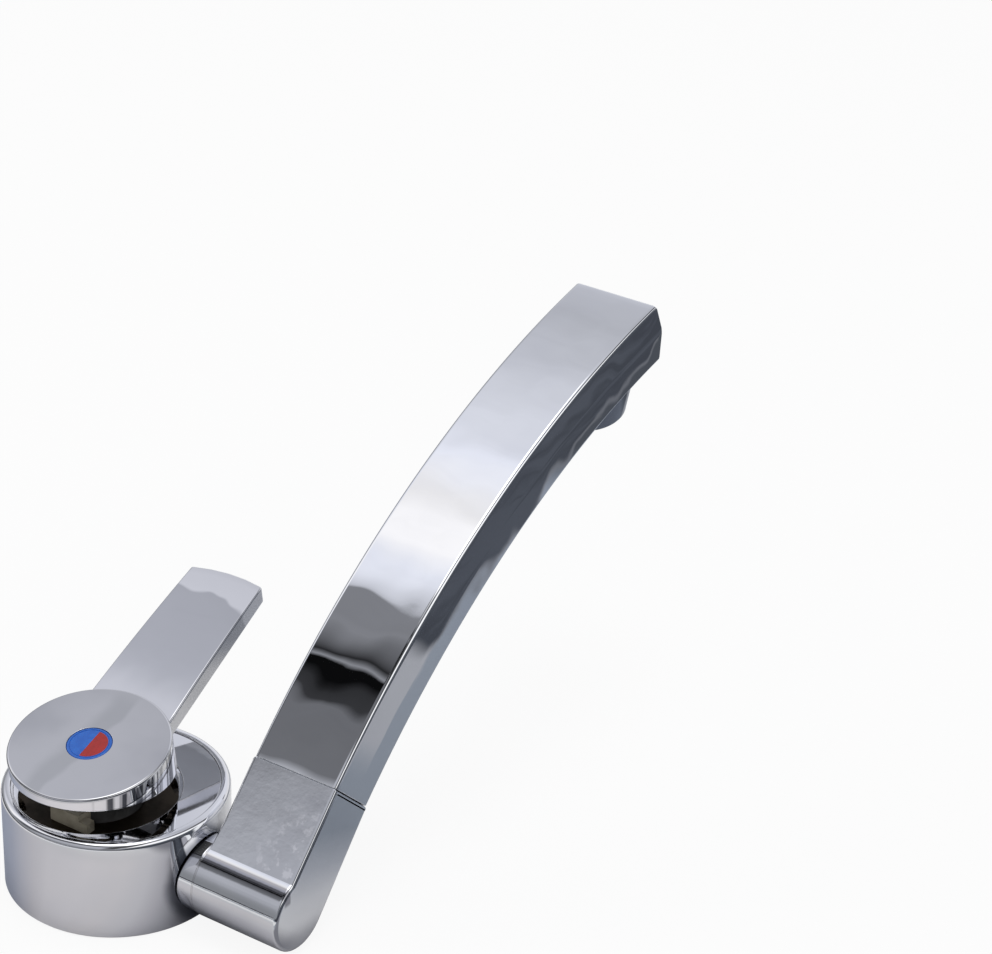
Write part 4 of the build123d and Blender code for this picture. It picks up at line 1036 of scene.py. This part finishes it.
def mirroredFloor(place):
    # what mirrors see of the worktop
    x, y = place.parts()[:2]
    distance = awayFrom(x, y)
    rippled = distance + waver(place, *floor["sway"]) * distance.eased(*floor["swayReach"])
    colour = place.node("ShaderNodeValToRGB", {0: rippled}, {"stops": floor["mirrored"]})
    foot = floor["foot"]
    around = [((angle + 180) / 360, tone) for angle, tone in foot["stops"]]
    turn = turnRound(x, y, foot["centre"]) / (2 * pi) + 0.5
    near = place.node("ShaderNodeValToRGB", {0: turn}, {"stops": around})
    colour = distance.eased(*foot["reach"]).blend(near, colour)
    for zone in floor["zones"]:
        tone, inside = zone["tone"], 1.0
        if "far" in zone:
            tone = y.eased(*zone["far"]).blend(tone, zone["farTone"])
        for axis, value in (("away", distance), ("x", x), ("y", y)):
            rise, fall = zone.get(axis, (None, None))
            inside = value.eased(*rise) * inside if rise else inside
            inside = value.below(*fall) * inside if fall else inside
        colour = inside.blend(colour, tone)
    mat = floor["mat"]
    drift = waver(place, *mat["drift"])
    onMat = (x - y * mat["slant"] + drift).eased(*mat["edge"])
    colour = (onMat * y.eased(*mat["paperStart"])).blend(colour, mat["paper"])
    woven = patchesOf(place, *mat["streaks"]).blend(mat["colour"], mat["streak"])
    return (onMat * (y + drift).eased(*mat["start"])).blend(colour, woven)


def rayKinds(wire):
    path = wire.node("ShaderNodeLightPath").socket.node
    return {socket.name: Wire(wire.tree, socket) for socket in path.outputs}


material, place = newMaterial("paleWorktop")
rays = rayKinds(place)
colour = rays["Is Glossy Ray"].blend(floor["pale"], mirroredFloor(place))
pale = place.node("ShaderNodeBsdfDiffuse", {"Color": colour, "Roughness": floor["rough"]})
white = place.node("ShaderNodeEmission", {"Color": (1, 1, 1, 1), "Strength": 1.0})
above = place.node("ShaderNodeMixShader", {0: rays["Is Camera Ray"] * floor["lift"], 1: pale, 2: white})
clear = place.node("ShaderNodeBsdfTransparent")
fromBelow = place.node("ShaderNodeNewGeometry", out="Backfacing")
finishMaterial(material, place.node("ShaderNodeMixShader", {0: fromBelow, 1: above, 2: clear}))
bm = bmesh.new()
bmesh.ops.create_grid(bm, x_segments=2, y_segments=2, size=floor["size"] / 2)
bm.transform(Matrix.Translation((0, 0, -floor["drop"])))
worktop = newObject("worktop", bm)
addMaterial(worktop, material)

# Room: white for the camera, a plain soft level for matt faces, panels of a studio for the mirrors
room = {
    "level": 0.55, "horizon": (0.29, 0.3, 0.32), "haze": (0.9, 0.9, 0.92), "hazeSide": (0.55, 0.8),
    "rise": (0.15, 0.5), "cloud": (0.3, 8.0, 4, 0.6), "sway": (0.04, 4.0), "cool": (0.96, 0.98, 1.07),
    "warm": (1.0, 0.985, 0.985),
    "panels": [  # brightness along Y: wall, dark drape with a slit of light, tall window, pale wall
        (-1.0, 0.42), (-0.68, 0.54), (-0.625, 0.52), (-0.59, 0.3), (-0.562, 0.175), (-0.448, 0.175),
        (-0.441, 0.045), (-0.422, 0.035), (-0.408, 0.004), (-0.39, 0.004), (-0.3825, 0.3), (-0.379, 0.22),
        (-0.37, 0.006), (-0.36, 0.06), (-0.338, 0.15), (-0.311, 0.27), (-0.3, 0.25), (-0.25, 0.26),
        (-0.241, 0.68), (-0.205, 0.86), (-0.165, 1.0), (-0.115, 1.17), (-0.055, 1.17), (-0.01, 1.02),
        (0.098, 0.98), (0.145, 0.89), (0.2, 0.83), (0.31, 0.75), (0.4, 0.63),
        (0.482, 0.53), (0.54, 0.6), (0.72, 0.86),
    ],
    "zenith": {"edge": (0.935, 0.985), "tone": (2.4, 2.4, 2.4)},
    "drape": {"side": (0.6, 0.74), "height": (0.37, 0.45), "tone": (0.1, 0.11, 0.13)},
    "strip": {
        "edge": (0.62, 0.7), "tone": (1.25, 1.25, 1.25), "gap": ((0.36, 0.42), (0.56, 0.61)),
        "dark": (0.08, 0.08, 0.08), "bend": 0.13, "bendAt": (0.7, 0.78),
    },
}
world = bpy.data.worlds.new("studio")
bpy.context.scene.world = world
direction = emptied(world, "Generated")
x, y, z = direction.parts()
stops = [
    ((place + 1) / 2, tuple(value * tint for tint in (room["warm"] if value > 1 else room["cool"])))
    for place, value in room["panels"]
]
along = (y + waver(direction, *room["sway"]) + 1.0) * 0.5
panels = direction.node("ShaderNodeValToRGB", {0: along}, {"stops": stops})
strip, zenith, drape = room["strip"], room["zenith"], room["drape"]
aside = x + y.eased(*strip["bendAt"]) * strip["bend"]
panels = aside.within(*strip["gap"]).blend(panels, strip["dark"])
panels = x.eased(*strip["edge"]).blend(panels, strip["tone"])
panels = z.eased(*zenith["edge"]).blend(panels, zenith["tone"])
low = y.eased(*room["hazeSide"]).blend(room["horizon"], room["haze"])
seen = z.eased(*room["rise"]).blend(low, panels)
seen = (x.eased(*drape["side"]) * z.below(*drape["height"])).blend(seen, drape["tone"])
cloud = 1.0 + waver(direction, *room["cloud"])
rays = rayKinds(direction)
strength = rays["Is Glossy Ray"] * cloud + rays["Is Diffuse Ray"] * room["level"]
strength = strength + rays["Is Camera Ray"] + rays["Is Transmission Ray"]
colour = rays["Is Glossy Ray"].blend((1.0, 1.0, 1.0), seen)
glow = direction.node("ShaderNodeBackground", {"Color": colour, "Strength": strength})
glow.node("ShaderNodeOutputWorld", {0: glow})

# Lamps: soft and square, all aimed just above the worktop
lamps = {
    "overhead": {"place": (0.1, 0.05, 1.1), "side": 0.5, "watts": 3.2},
    "leftFill": {"place": (-1.0, -0.5, 0.7), "side": 0.5, "watts": 2.2},
    "frontFill": {"place": (0.7, -1.1, 0.5), "side": 0.4, "watts": 1.6},
}
lampTarget = Vector((0, 0, 0.05))
for name, look in lamps.items():
    lamp = bpy.data.lights.new(name, "AREA")
    lamp.shape = "RECTANGLE"
    lamp.size = lamp.size_y = look["side"]
    lamp.energy = look["watts"]
    holder = newObject(name, lamp)
    holder.location = look["place"]
    holder.rotation_mode = "QUATERNION"
    holder.rotation_quaternion = (lampTarget - Vector(look["place"])).to_track_quat("-Z", "Y")
    holder.visible_glossy = False  # the room's panels are what the mirrors show

# Camera at the photograph's viewing angle
view = {
    "place": (0.3614, -0.4173, 0.3966), "forward": (-0.4736, 0.7424, -0.4739),
    "up": (-0.2872, 0.3785, 0.8799), "clip": (0.05, 20),
    "focalPixels": 3013.21, "imageWidth": 992, "sensor": 36.0,
}
camera = bpy.data.cameras.new("photoView")
camera.sensor_width = view["sensor"]
camera.lens = view["focalPixels"] / view["imageWidth"] * view["sensor"]
camera.clip_start, camera.clip_end = view["clip"]
cameraHolder = newObject("photoView", camera)
backward = -Vector(view["forward"]).normalized()
rightward = Vector(view["up"]).cross(backward).normalized()
cameraHolder.matrix_world = groupMatrix(view["place"], rightward, backward.cross(rightward), backward)
bpy.context.scene.camera = cameraHolder
bpy.context.scene.view_settings.view_transform = "Standard"
print("studio and camera ready")
